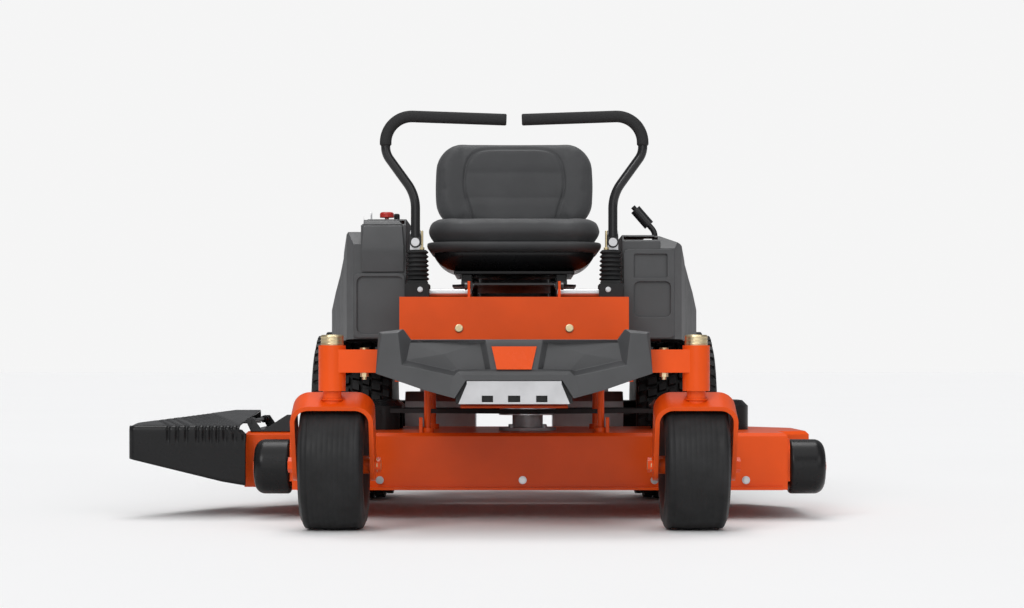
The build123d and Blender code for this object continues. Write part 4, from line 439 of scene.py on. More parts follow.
# ---- Tyres ----
def tyre_profile(half, bead_half, bead_r, radius, grooves, groove_depth, wall, crown):
    """The closed section of a tyre from one bead round the tread to the other and back inside."""
    height = radius - bead_r
    widest, shoulder, top = 0.55, 0.74, 0.985
    raised_rings = (0.1, 0.2, 0.76)
    ring_height = 1.4 * MM
    side = []
    for share in (0.0, 0.06, 0.1, 0.2, 0.26, 0.3, 0.42, 0.56, 0.7, 0.76, 0.79, 0.86, 0.92, 0.96, top):
        if share < widest:
            along = bead_half + (half - bead_half) * math.sin(share / widest * math.pi / 2)
        else:
            turn = (share - widest) / (1 - widest) * math.pi / 2
            bulge = math.cos(turn) ** 0.32 if share < top else 0.0
            along = half * shoulder + half * (1 - shoulder) * bulge
        step = ring_height if share in raised_rings and along + ring_height <= half else 0.0
        side.append((along + step, bead_r + height * share))
    flat_half = half * 0.72
    tread = []
    pitch = 2 * flat_half / grooves
    for index in range(grooves):
        left = flat_half - index * pitch
        for share, depth in ((0.0, 0.0), (0.62, 0.0), (0.72, groove_depth), (0.9, groove_depth)):
            along = left - pitch * share
            drop = crown * (along / flat_half) ** 2
            tread.append((along, radius - drop - depth))
    tread.append((-flat_half, radius - crown))
    outer = side + tread + [(-along, r) for along, r in reversed(side)]
    under_tread = radius - wall - crown - groove_depth
    inner = [(bead_half - wall, bead_r), (half - wall, bead_r + height * 0.5), (flat_half, under_tread)]
    return outer + [(-along, r) for along, r in inner] + inner[::-1]


def front_tyres():
    """Smooth turf tyres with fine lines round the tread."""
    for side in SIDES:
        node = "front_tyre_" + side
        low, high, mid = span(node)
        half = (high.x - low.x) / 2
        radius = (high.z - low.z) / 2
        profile = tyre_profile(half, 46 * MM, 66 * MM, radius, 9, 0.25 * MM, 9 * MM, 2.5 * MM)
        verts, faces = lathe(profile, mid, "x", 144)
        make("front_tyre_skin_" + side, verts, faces, "tyre", "front_wheel_" + side, [node])


def rear_tyres():
    """Drive tyres: a carcass with rows of turf blocks."""
    for side in SIDES:
        node = "rear_tyre_" + side
        low, high, mid = span(node)
        half = (high.x - low.x) / 2
        radius = (high.z - low.z) / 2
        lug, sunk, edge_drop = 11 * MM, 5 * MM, 9 * MM
        profile = tyre_profile(half, 84 * MM, 102 * MM, radius - lug, 6, 0.5 * MM, 12 * MM, 4 * MM)
        shapes = [lathe(profile, mid, "x", 120)]
        rows = ((-0.62, 0.13, 0.0), (-0.37, 0.1, 0.5), (-0.125, 0.1, 0.0), (0.125, 0.1, 0.5),
                (0.37, 0.1, 0.0), (0.62, 0.13, 0.5), (0.86, 0.09, 0.0), (-0.86, 0.09, 0.5))
        count = 44
        for place, width, shift in rows:
            for index in range(count):
                angle = 2 * math.pi * (index + shift) / count
                drop = 4 * MM * place * place + (edge_drop if abs(place) > 0.8 else 0.0)
                top, base = radius - drop, radius - lug - drop - sunk
                reach = math.pi / count * 0.66
                corners = []
                for r, shrink in ((base, 1.12), (top, 0.92)):
                    for along in (-1, 1):
                        for turn in (-1, 1):
                            lean = 0.25 * reach * along * (1 if place > 0 else -1)
                            a = angle + turn * reach * shrink + lean
                            x = (place + along * width * shrink * 0.92) * half
                            corners.append(mid + Vector((x, r * math.cos(a), r * math.sin(a))))
                faces = [(0, 1, 3, 2), (4, 6, 7, 5), (0, 4, 5, 1), (2, 3, 7, 6), (0, 2, 6, 4), (1, 5, 7, 3)]
                shapes.append((corners, faces))
        verts, faces = join(*shapes)
        skin = make("rear_tyre_skin_" + side, verts, faces, "tyre", "rear_wheel_" + side, [node])
        bevelled(skin, 1.2 * MM, 1, 50)


# ---- Boots and grips ----
def boots():
    """Pleated rubber boots round the controls."""
    for side in SIDES:
        node = "control_boot_" + side
        low, high, mid = span(node)
        foot_top = low.z + 40 * MM
        profile = []
        pleats = 7
        radius, narrow_end, wall_inside = 27.5 * MM, 0.72, 0.62
        plinth, plinth_half = 8 * MM, 34 * MM
        height = (high.z - foot_top) / pleats
        for index in range(pleats):
            base = foot_top + index * height
            swell = 1.0 - 0.012 * index
            profile += [(base, radius * 0.8 * swell), (base + height * 0.35, radius * swell),
                        (base + height * 0.55, radius * swell)]
        profile += [(high.z, radius * narrow_end)]
        profile += [(high.z, radius * wall_inside), (foot_top, radius * wall_inside)]
        bellows = lathe([(z - mid.z, r) for z, r in profile], mid, "z", 48)
        foot = block(low, (high.x, high.y, foot_top - plinth))
        step = block((low.x + 5 * MM, mid.y - plinth_half, foot_top - plinth),
                     (high.x - 5 * MM, mid.y + plinth_half, foot_top))
        verts, faces = join(bellows, foot, step)
        piece = make("boot_skin_" + side, verts, faces, "rubber", None, [node])
        bevelled(piece, 2.5 * MM, 3, 50)
        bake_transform(piece)


def grips():
    """Foam grips, tapered off at the ends, over the bent part of each lever."""
    for side, sign in SIDES.items():
        y = span("steering_lever_" + side)[2].y
        low, high = span("lever_grip_" + side)[:2]
        r, bend, rise, spacing = 14 * MM, 62 * MM, 10 * MM, 9 * MM
        outer, inner = (low.x, high.x) if sign < 0 else (high.x, low.x)
        outer -= sign * r
        top_z = high.z - r
        foot, corner = Vector((outer, y, low.z)), Vector((outer, y, top_z))
        tip = Vector((inner, y, top_z - rise))
        points = [foot] + round_corner(foot, corner, tip, bend, 16) + [tip]
        dense = []
        for first, second in zip(points, points[1:]):
            count = max(1, int((second - first).length / spacing))
            dense += [first.lerp(second, step / count) for step in range(count)]
        dense.append(points[-1])
        ends = [dense[0] + (dense[1] - dense[0]).normalized() * d * MM for d in (0.0, 1.0, 3.0)]
        tips = [dense[-1] + (dense[-2] - dense[-1]).normalized() * d * MM for d in (3.0, 1.0, 0.0)]
        path = ends + dense[1:-1] + tips
        radii = [r * 0.82, r * 0.93, r] + [r] * (len(dense) - 2) + [r, r * 0.93, r * 0.8]
        verts, faces = tube(path, radii, 28)
        make("grip_skin_" + side, verts, faces, "foam", "lever_" + side, ["lever_grip_" + side])


front_tyres()
rear_tyres()
boots()
grips()


# ---- Seat ----
BACK_LEAN = math.radians(7.0)


def rounded_plan(half_x, half_y, radius, steps=14):
    """Points of a rounded rectangle about the origin, anticlockwise."""
    points = []
    for cx, cy, first in ((1, 1, 0), (-1, 1, 90), (-1, -1, 180), (1, -1, 270)):
        for step in range(steps + 1):
            angle = math.radians(first + 90.0 * step / steps)
            points.append((cx * (half_x - radius) + radius * math.cos(angle),
                           cy * (half_y - radius) + radius * math.sin(angle)))
    return points


def pad_form(half_x, half_y, radius, rings, place):
    """A closed pad: rings of (inset, height) round a rounded plan, put in the frame by place(u, v, w)."""
    verts, count = [], 0
    for inset, height in rings:
        ring = rounded_plan(half_x - inset, half_y - inset, max(radius - inset, 8 * MM))
        count = len(ring)
        verts += [place(u, v, height) for u, v in ring]
    faces = ring_faces(len(rings), count, closed=False)
    faces.append(tuple(reversed(range(count))))
    faces.append(tuple(range((len(rings) - 1) * count, len(rings) * count)))
    return verts, faces


def apply_modifiers(obj):
    """Replace an object's mesh with its evaluated one and drop its modifiers."""
    graph = bpy.context.evaluated_depsgraph_get()
    mesh = bpy.data.meshes.new_from_object(obj.evaluated_get(graph))
    obj.modifiers.clear()
    obj.data = mesh


def puff(obj, voxel, pressure, cap):
    """Remesh a closed pad evenly and blow it up softly, with no point moving past the cap."""
    remesh = obj.modifiers.new("remesh", "REMESH")
    remesh.mode = "VOXEL"
    remesh.voxel_size = voxel
    apply_modifiers(obj)
    rest = [vertex.co.copy() for vertex in obj.data.vertices]
    cloth = obj.modifiers.new("cloth", "CLOTH")
    cloth.settings.use_pressure = True
    cloth.settings.uniform_pressure_force = pressure
    cloth.settings.effector_weights.gravity = 0.0
    for frame_number in range(1, 21):
        bpy.context.scene.frame_set(frame_number)
    graph = bpy.context.evaluated_depsgraph_get()
    blown = [vertex.co.copy() for vertex in obj.evaluated_get(graph).data.vertices]
    obj.modifiers.clear()
    for vertex, start, end in zip(obj.data.vertices, rest, blown):
        shift = end - start
        if shift.length > cap:
            shift *= cap / shift.length
        vertex.co = start + shift
    bpy.context.scene.frame_set(1)
    for polygon in obj.data.polygons:
        polygon.use_smooth = True
    smooth = obj.modifiers.new("even", "SMOOTH")
    smooth.factor = 0.5
    smooth.iterations = 3
    divide = obj.modifiers.new("divide", "SUBSURF")
    divide.levels = divide.render_levels = 1
    apply_modifiers(obj)


def keep_within(obj, node):
    """Hold a soft piece inside its CAD solid's box."""
    low, high = span(node)[:2]
    for vertex in obj.data.vertices:
        for axis in range(3):
            vertex.co[axis] = min(max(vertex.co[axis], low[axis]), high[axis])


def seat_cushion():
    """The cushion: a fat rolled edge with a shallow dished top, moulded in vinyl."""
    low, high, mid = span("seat_cushion")
    shrink = 4 * MM
    half_x = (high.x - low.x) / 2 - shrink
    half_y = (high.y - low.y) / 2 - shrink
    roll = (high.z - low.z) / 2
    rings = [(46 * MM, low.z + 1 * MM), (14 * MM, low.z + 1 * MM)]
    for step in range(9):
        angle = math.radians(-40.0 + 130.0 * step / 8)
        height = low.z + roll * 0.98 + (roll - shrink) * math.sin(angle)
        rings.append((roll * 0.92 * (1 - math.cos(angle)), height))
    top = rings[-1]
    for step in range(1, 6):
        share = step / 5
        rings.append((top[0] + share * 150 * MM, top[1] - 3 * MM * share))

    def place(u, v, w):
        dish = max(0.0, 1 - (u / 0.19) ** 4) * max(0.0, 1 - (v / 0.2) ** 2)
        bolster = 3 * MM * max(0.0, (abs(u) - 0.13) / 0.06) if w > top[1] - 10 * MM else 0.0
        sink = 7 * MM * dish if w > top[1] - 6 * MM else 0.0
        return Vector((mid.x + u, mid.y + v, min(w - sink + bolster, high.z - shrink)))

    verts, faces = pad_form(half_x, half_y, 80 * MM, rings, place)
    pad = make("cushion_skin", verts, faces, "vinyl", "seat", ["seat_cushion"])
    puff(pad, 5 * MM, 4.0, 5 * MM)
    keep_within(pad, "seat_cushion")


def seat_back():
    """The backrest: dished between side bolsters, with a raised middle panel edged by a groove."""
    low, high, mid = span("seat_back")
    lean = BACK_LEAN
    thick = 52 * MM
    foot_y = low.y + thick / 2 + 4 * MM
    half_x = (high.x - low.x) / 2 - 3 * MM
    rise = (high.z - low.z) / math.cos(lean) - 3 * MM
    half_v = rise / 2
    rings = []
    for step in range(13):
        angle = math.radians(-90.0 + 180.0 * step / 12)
        rings.append((thick / 2 * 0.8 * (1 - math.cos(angle)), thick / 2 * math.sin(angle)))
    rings = [(70 * MM, -thick / 2 + 3 * MM)] + rings
    for share in (0.2, 0.4, 0.6, 0.8, 1.0):
        rings.append((thick / 2 * 0.8 + share * 62 * MM, thick / 2))

    def place(u, v, w):
        up = v + half_v
        side = clamp((abs(u) - 0.09) / 0.085)
        dish = 13 * MM * (1 - side * side * (3 - 2 * side)) if w > 0 else 0.0
        crown = 5 * MM * (1 - (u / half_x) ** 2) * clamp((up - 0.15) / 0.07)
        out = w - dish
        return Vector((mid.x + u,
                       foot_y + (up + crown) * math.sin(lean) - out * math.cos(lean),
                       low.z + (up + crown - 4 * MM) * math.cos(lean) + out * math.sin(lean) * 0.4))

    verts, faces = pad_form(half_x, half_v, 74 * MM, rings, place)
    pad = make("backrest_skin", verts, faces, "vinyl", "seat", ["seat_back"])
    puff(pad, 5 * MM, 4.0, 4 * MM)
    panel_low = low.z - 30 * MM
    panel_high = high.z - 21 * MM

    def panel_edge(x, z):
        """How far a point is outside the middle panel's edge."""
        share = clamp((z - low.z) / 0.12)
        half = 0.108 + 0.025 * share * share * (3 - 2 * share)
        rise_share = max(0.0, z - panel_low) / (panel_high - panel_low)
        form = (abs(x - mid.x) / half) ** 5 + rise_share ** 7
        return (form ** 0.2 - 1) * half

    pad.data.update()
    normals = [vertex.normal.copy() for vertex in pad.data.vertices]
    for vertex, normal in zip(pad.data.vertices, normals):
        if normal.y < -0.3:
            away = panel_edge(vertex.co.x, vertex.co.z)
            groove = 4.5 * MM * math.exp(-(away / (3.2 * MM)) ** 2)
            raised = 3.0 * MM / (1 + math.exp(away / (5 * MM)))
            vertex.co += normal * (raised - groove)
    keep_within(pad, "seat_back")


def seat_pan():
    """The cushion's skirt, the black bowl under it, its slide runners and the backrest's straps."""
    low, mid = span("seat_pan")[0::2]
    cushion_low, cushion_high, cushion_mid = span("seat_cushion")
    runner_low = span("seat_base")[1].z + 0.3 * MM
    half_x = (cushion_high.x - cushion_low.x) / 2 - 6 * MM
    half_y = (cushion_high.y - cushion_low.y) / 2 - 8 * MM
    seam_z = cushion_low.z - 0.4 * MM
    skirt = [(60 * MM, seam_z), (4 * MM, seam_z), (1 * MM, seam_z - 2 * MM), (0.0, seam_z - 6 * MM)]
    for step in range(1, 8):
        angle = math.radians(90.0 * step / 7)
        skirt.append((20 * MM * (1 - math.cos(angle)), seam_z - 6 * MM - 19 * MM * math.sin(angle)))
    skirt.append((70 * MM, skirt[-1][1]))
    rim_z = skirt[-1][1] - 0.5 * MM
    depth = rim_z - (low.z + 12 * MM)
    lip_z = rim_z - 5 * MM
    rings = [(60 * MM, rim_z - 6 * MM), (4 * MM, rim_z - 6 * MM), (3 * MM, rim_z)]
    rings += [(0.0, rim_z), (0.0, lip_z)]
    for step in range(1, 12):
        angle = math.radians(88.0 * step / 11)
        inset = 72 * MM * (1 - math.cos(angle)) ** 0.85
        rings.append((inset, lip_z - (depth - 18 * MM) * math.sin(angle)))
    rings.append((110 * MM, rings[-1][1] - 2 * MM))

    def place(u, v, w):
        return Vector((cushion_mid.x + u, cushion_mid.y + v, w))

    shapes = [pad_form(half_x - 16 * MM, half_y - 14 * MM, 66 * MM, rings, place)]
    verts, faces = pad_form(half_x + 2 * MM, half_y + 2 * MM, 80 * MM, skirt, place)
    make("cushion_skirt", verts, faces, "vinyl", "seat", ["seat_pan"])
    foot_top = rings[-1][1] + 4 * MM
    foot_low = low.z + 19 * MM
    shapes.append(block((mid.x - 150 * MM, cushion_mid.y - 160 * MM, foot_low),
                        (mid.x + 150 * MM, cushion_mid.y + 155 * MM, foot_top)))
    for side in (-1, 1):
        x0, x1 = sorted((mid.x + side * 105 * MM, mid.x + side * 131 * MM))
        shapes.append(block((x0, cushion_mid.y - 145 * MM, runner_low),
                            (x1, cushion_mid.y + 125 * MM, foot_low + 2 * MM)))
    verts, faces = join(*shapes)
    pan = make("seat_bowl", verts, faces, "black_plastic", "seat", ["seat_pan"])
    bevelled(pan, 2.5 * MM, 3, 40)
    rear_y = cushion_high.y
    heel_z = foot_low - 4 * MM
    top_z = 0.88
    thick, half_width, from_middle = 5 * MM, 16 * MM, 110 * MM
    top_y = rear_y + 4 * MM + (top_z - cushion_high.z) * math.tan(BACK_LEAN)
    inner = [(rear_y - 90 * MM, heel_z), (rear_y - 6 * MM, heel_z), (rear_y + 2 * MM, foot_low + 6 * MM),
             (rear_y + 4 * MM, cushion_high.z), (top_y, top_z)]
    outer = [(rear_y - 90 * MM, heel_z - thick), (rear_y, heel_z - thick),
             (rear_y + 2 * MM + thick, foot_low + 4 * MM), (rear_y + 4 * MM + thick, cushion_high.z),
             (top_y + thick, top_z)]
    outline = inner + outer[::-1]
    for side, sign in SIDES.items():
        middle = mid.x + sign * from_middle
        verts = [(x, y, z) for x in (middle - half_width, middle + half_width) for y, z in outline]
        faces = prism_faces(len(outline))
        strap = make("seat_strap_" + side, verts, faces, "black_paint", "seat", smooth=False)
        bevelled(strap, 1.2 * MM, 2, 30)


seat_cushion()
seat_back()
seat_pan()


# ---- Front cover ----
COVER_POINTS = {  # x from the middle, height and depth behind the front face, in mm
    "a0": (0, 416, 8), "a1": (60, 416, 8), "a2": (222, 416, 25),
    "b0": (0, 409, 6.4), "b1": (60, 409, 6.4), "b2": (73, 409, 24), "b3": (224, 409, 27),
    "c0": (0, 352, 6.4), "c1": (50, 352, 6.4), "c2": (62, 352, 19),
    "c3": (121, 352, 21), "c4": (131, 349, 22), "c5": (231, 372, 22),
    "p1": (150, 385, 19), "q": (137, 306, 2.5), "k0": (0, 348, 5), "k1": (119, 348, 5),
    "m0": (0, 341, 0.6), "m1": (114, 341, 0.6), "n0": (0, 328, 0.6), "n1": (103, 328, 0.6),
    "d2": (129, 338, 2), "d1": (240, 361, 2), "e2": (193, 308, 3), "e1": (268, 334, 8),
    "f3": (127, 290, 0.6), "s1": (296, 343, 12),
    "g1": (248, 430, 4), "g2": (283, 428, 5), "h1": (238, 438, 14), "h2": (290, 432, 15)}
COVER_FACES = ("a0 a1 b1 b0", "a1 a2 b3 b2 b1", "b0 b1 c1 c0", "b1 b2 c2 c1", "b2 b3 p1", "b2 p1 c3 c2",
               "b3 c5 p1", "p1 c5 c4 c3", "c0 c1 c2 c3 k1 k0", "c3 c4 d2 k1", "c4 c5 d1 d2", "k0 k1 m1 m0",
               "m0 m1 n1 n0", "k1 d2 q f3 n1 m1", "d2 d1 e1 e2 f3 q", "d1 g1 g2 s1 e1", "b3 a2 h1 g1 d1 c5",
               "g1 h1 h2 g2", "g2 h2 s1")
COVER_RIM = "a0 a1 a2 h1 h2 s1 e1 e2 f3 n1 n0"


def front_cover():
    """The moulded cover: sunk faceted panel, ears, sloping ledges and a frame round the skid plate."""
    low, high, mid = span("bumper_cover")
    sheet = bmesh.new()
    found = {}

    def point(name, sign, back=False):
        x, z, depth = COVER_POINTS[name]
        key = (name, sign if x else 1, back)
        if key not in found:
            y = high.y if back else low.y + depth * MM
            found[key] = sheet.verts.new((mid.x + sign * x * MM, y, z * MM))
        return found[key]

    rim = COVER_RIM.split()
    for sign in (1, -1):
        for names in COVER_FACES:
            sheet.faces.new([point(name, sign) for name in names.split()])
        for first, second in zip(rim, rim[1:]):
            sheet.faces.new([point(first, sign), point(second, sign),
                             point(second, sign, True), point(first, sign, True)])
    bmesh.ops.recalc_face_normals(sheet, faces=sheet.faces)
    if sum(face.normal.y * face.calc_area() for face in sheet.faces) > 0:
        bmesh.ops.reverse_faces(sheet, faces=sheet.faces)
    mesh = bpy.data.meshes.new("front_cover_skin")
    sheet.to_mesh(mesh)
    sheet.free()
    cover = adopt("front_cover_skin", mesh, "grey_plastic", "chassis", ["bumper_cover"])
    walled(cover, 3 * MM)
    bevelled(cover, 1.6 * MM, 3, 14)


# ---- Discharge deflector ----
DEFLECTOR_TOP = 219 * MM
DEFLECTOR_RISE = 30 * MM
DEFLECTOR_FOLD = 12 * MM
DEFLECTOR_ROOT = 26 * MM  # how far the sheet stops short of the hinge side


def quarter(steps):
    """The steps of a quarter turn between its ends, as sine and one minus cosine."""
    angles = [math.radians(90 * step / steps) for step in range(1, steps)]
    return [(math.sin(angle), 1 - math.cos(angle)) for angle in angles]


def deflector_section(x, low, high):
    """One section of the deflector across X: points of (y, z, face) up the front, over and down."""
    tip, root = low.x, high.x - DEFLECTOR_ROOT
    corner = tip + 198 * MM
    tip_depth = 70 * MM
    length = high.y - low.y
    bottom = 140 * MM - 64 * MM * (x - tip) / (root - tip)
    back = low.y + tip_depth + (length - tip_depth) * min(1.0, (x - tip) / (corner - tip))
    rounding = 10 * MM * max(0.0, 1 - (x - tip) / (14 * MM)) ** 2
    front = low.y + rounding
    fold, fold_z = DEFLECTOR_FOLD, DEFLECTOR_TOP - DEFLECTOR_FOLD
    path = [(front, bottom + (fold_z - bottom) * step / 14, "front") for step in range(15)]
    path += [(front + fold * drop, fold_z + fold * rise, "fold") for rise, drop in quarter(5)]
    for step in range(17):
        y = low.y + fold + (back - low.y - 2 * fold) * step / 16
        path.append((y, DEFLECTOR_TOP + DEFLECTOR_RISE * (y - low.y) / length - rounding / 2, "top"))
    lip_y, lip_z = path[-1][:2]
    path += [(lip_y + fold * rise, lip_z - fold * drop, "rear") for rise, drop in quarter(5)]
    wall_low = max(bottom, 110 * MM) if x < corner else lip_z - 34 * MM
    fall = wall_low - lip_z + fold
    path += [(lip_y + fold, lip_z - fold + fall * step / 5, "rear") for step in range(1, 6)]
    return path


def discharge_deflector():
    """The ribbed deflector: a folded sheet with grooves over its front fold and across its top."""
    low, high = span("deflector")[:2]
    tip, root = low.x, high.x - DEFLECTOR_ROOT
    grooves = [tip + step * MM for step in (94, 115, 137)]
    grooves += [root - step * MM for step in (2, 18, 34, 50, 66, 82, 98)]
    groove_half, groove_depth, slant = 3.4 * MM, 3.4 * MM, 0.34
    columns = 170
    count = 0
    verts = []
    for column in range(columns + 1):
        x = tip + (root - tip) * column / columns
        share = (x - tip) / (root - tip)
        path = deflector_section(x, low, high)
        count = len(path)
        for y, z, face in path:
            slid = x + slant * max(0.0, y - low.y - DEFLECTOR_FOLD)
            sink = groove_depth * max(math.exp(-((slid - place) / groove_half) ** 2) for place in grooves)
            if face == "front":
                sunk = sink * clamp((z - DEFLECTOR_TOP + 42 * MM) / (10 * MM))
                flare = 17 * MM * max(0.0, (share - 0.85) / 0.15) * clamp((0.212 - z) / 0.012)
                verts.append((x + flare, y + sunk, z))
            elif face == "fold":
                verts.append((x, y + 0.7 * sink, z - 0.7 * sink))
            else:
                verts.append((x, y, z - (sink if face == "top" else 0.0)))
    faces = []
    for column in range(columns):
        for row in range(count - 1):
            a = column * count + row
            faces.append((a, a + 1, a + count + 1, a + count))
    faces.append(tuple(range(count)))
    skin = make("deflector_skin", verts, faces, "black_plastic", "chute", ["deflector"])
    walled(skin, 3.5 * MM)
    pin_x, pin_z, bore, sleeve_r, length = high.x - 9 * MM, 0.226, 5.4 * MM, 9 * MM, 60 * MM
    for index, start in enumerate((-717 * MM, -439 * MM)):
        y0 = start + FRAME_Y
        y1 = y0 + length
        sleeve, faces = lathe([(y0, bore), (y0, sleeve_r), (y1, sleeve_r), (y1, bore)], Vector(), "z", 28)
        turned = [(pin_x + v.x, v.z, pin_z + v.y) for v in sleeve]
        web = block((root - 8 * MM, y0, 0.2215), (high.x - 16 * MM, y1, 0.2255))
        verts, faces = join((turned, faces), web)
        make("deflector_knuckle_%d" % index, verts, faces, "black_plastic", "chute")


# ---- Console faces ----
def front_plate(name, loops, y_back, thickness, bevel):
    """A plate of front outlines, the later ones cut as holes, standing on a face that looks forwards."""
    data = bpy.data.curves.new(name, "CURVE")
    data.dimensions = "2D"
    data.fill_mode = "BOTH"
    data.extrude = thickness / 2 - bevel
    data.bevel_depth = bevel
    data.bevel_resolution = 2
    for loop in loops:
        spline = data.splines.new("POLY")
        spline.points.add(len(loop) - 1)
        for entry, (x, z) in zip(spline.points, loop):
            entry.co = (x, z, 0, 1)
        spline.use_cyclic_u = True
    drawn = bpy.data.objects.new(name + "_outline", data)
    bpy.context.collection.objects.link(drawn)
    graph = bpy.context.evaluated_depsgraph_get()
    mesh = bpy.data.meshes.new_from_object(drawn.evaluated_get(graph))
    bpy.data.objects.remove(drawn)
    upright = Matrix.Rotation(math.radians(90), 4, "X")
    mesh.transform(Matrix.Translation((0, y_back - thickness / 2, 0)) @ upright)
    adopt(name, mesh, "grey_plastic", "chassis")


def loop_of(x0, x1, z0, z1, radius, bevel):
    """A rounded rectangle from its outer corners, drawn in by the bevel that the curve adds."""
    x0, x1 = sorted((x0, x1))
    cx, cz = (x0 + x1) / 2, (z0 + z1) / 2
    plan = rounded_plan((x1 - x0) / 2 - bevel, (z1 - z0) / 2 - bevel, radius, 6)
    return [(cx + u, cz + v) for u, v in plan]


def console_faces():
    """Frames that leave the sunk panels of both consoles, and the raised face of the right one."""
    bevel = 1.6 * MM
    front = span("console_right")[0].y
    frame_back = front + 0.3 * MM
    near, far, frame_low = 261 * MM, 384 * MM, 0.427
    outer, inner = MID_X - far, MID_X - near
    loops = [loop_of(outer, inner, frame_low, 0.582, 10 * MM, bevel),
             loop_of(outer + 8 * MM, inner - 4 * MM, 0.437, 0.574, 16 * MM, -bevel)]
    front_plate("console_frame_right", loops, frame_back, 6 * MM, bevel)
    # the raised face's section: how far behind the front, height, and how far each side is drawn in
    profile = [(14, 0.7115, 3, 14), (-3, 0.694, 3, 4), (-13, 0.645, 0, 0), (-12, 0.634, 0, 0),
               (-5, 0.586, 0, 0), (1, 0.584, 0, 0), (1, 0.70, 3, 4)]
    x0, x1 = MID_X - 364 * MM, MID_X - 264 * MM
    verts = [(x0 + point[2] * MM, front + point[0] * MM, point[1]) for point in profile]
    verts += [(x1 - point[3] * MM, front + point[0] * MM, point[1]) for point in profile]
    face = make("console_face_right", verts, prism_faces(len(profile)), "grey_plastic", "chassis")
    bevelled(face, 4 * MM, 4, 20)
    inner, outer = MID_X + near, MID_X + far
    loops = [loop_of(inner, outer, frame_low, 0.640, 12 * MM, bevel),
             loop_of(inner + 26 * MM, outer - 18 * MM, 0.572, 0.628, 5 * MM, -bevel),
             loop_of(inner + 26 * MM, outer - 10 * MM, 0.478, 0.562, 14 * MM, -bevel)]
    front_plate("console_frame_left", loops, frame_back, 7 * MM, bevel)


# ---- Small pieces ----
def hex_bolt(centre, axis, across, height):
    """A hexagon head on a washer, along X or Y; the height's sign gives its side."""
    shapes = []
    washer = 0.22
    head = across / math.sqrt(3)
    for radius, start, end, sides in ((across * 0.72, 0.0, washer, 32), (head, washer, 1.0, 6)):
        ring = []
        for at in (start * height, end * height):
            for step in range(sides):
                angle = 2 * math.pi * step / sides
                a, b = radius * math.cos(angle), radius * math.sin(angle)
                ring.append((at, a, b) if axis == "x" else (a, at, b))
        verts = [Vector(centre) + Vector(v) for v in ring]
        faces = ring_faces(2, sides, closed=False) + [tuple(range(sides)), tuple(range(sides, 2 * sides))]
        shapes.append((verts, faces))
    return join(*shapes)


def lever_hardware():
    """A threaded stud beside each lever and a screw in each boot's foot."""
    for side, sign in SIDES.items():
        low, high, mid = span("control_boot_" + side)
        x, y, top = mid.x - sign * 10 * MM, mid.y - 2 * MM, high.z
        path = [(x, y, top - 14 * MM), (x, y, top + 44 * MM), (x, y, top + 46 * MM)]
        stud = tube(path, [3.4 * MM, 3.4 * MM, 2.6 * MM], 16)
        collar = tube([(x, y, top + 0.5 * MM), (x, y, top + 6 * MM)], 6.5 * MM, 6)
        verts, faces = join(stud, collar)
        make("lever_stud_" + side, verts, faces, "yellow_zinc", "control_" + side, smooth=False)
        verts, faces = hex_bolt((mid.x - sign * 8 * MM, low.y, low.z + 18 * MM), "y", 9 * MM, -5 * MM)
        make("boot_screw_" + side, verts, faces, "steel", "chassis", smooth=False)


def deck_bolts():
    """Bolts along the lower edge of the deck's front."""
    front = FRAME_Y - 865 * MM
    for index, x in enumerate((-316, 20, 330, 545)):
        verts, faces = hex_bolt((MID_X + x * MM, front, 0.092), "y", 13 * MM, -7 * MM)
        make("deck_bolt_%d" % index, verts, faces, "steel", "deck", smooth=False)


def caster_hardware():
    """Axle nuts, the ringed caster caps and the weld at the foot of each stem."""
    stem_y = FRAME_Y - (1190 + 65) * MM
    ring_low, ring_high, ring_height = 23.5 * MM, 25.3 * MM, 3.8 * MM
    weld_r, weld_z, weld_half, beads = 21.5 * MM, 0.2865, 3.2 * MM, 40
    for side, sign in SIDES.items():
        low, high = span("caster_fork_" + side)[:2]
        inner = high.x if sign < 0 else low.x
        place = (inner + sign * 9 * MM, FRONT_AXLE.y, FRONT_AXLE.z)
        verts, faces = hex_bolt(place, "x", 21 * MM, -sign * 9.5 * MM)
        make("axle_nut_" + side, verts, faces, "yellow_zinc", "caster_" + side, smooth=False)
        stem = Vector((MID_X + sign * 395 * MM, stem_y, 0))
        rings = []
        for z in (0.4055, 0.413, 0.4205):
            profile = [(z, ring_low), (z + 1.2 * MM, ring_high), (z + 2.6 * MM, ring_high),
                       (z + ring_height, ring_low)]
            rings.append(lathe(profile, stem, "z", 56))
        verts, faces = join(*rings)
        make("caster_cap_rings_" + side, verts, faces, "yellow_zinc", "chassis")
        verts = []
        for step in range(beads):
            angle = 2 * math.pi * step / beads
            out = Vector((math.cos(angle), math.sin(angle), 0))
            centre = stem + out * weld_r + Vector((0, 0, weld_z))
            swell = weld_half * (1.0 if step % 2 == 0 else 0.7)
            for turn in range(8):
                angle = 2 * math.pi * turn / 8
                rise = Vector((0, 0, swell * 0.8 * math.sin(angle)))
                verts.append(centre + out * (swell * math.cos(angle)) + rise)
        make("fork_weld_" + side, verts, ring_faces(beads, 8), "orange_paint", "caster_" + side)


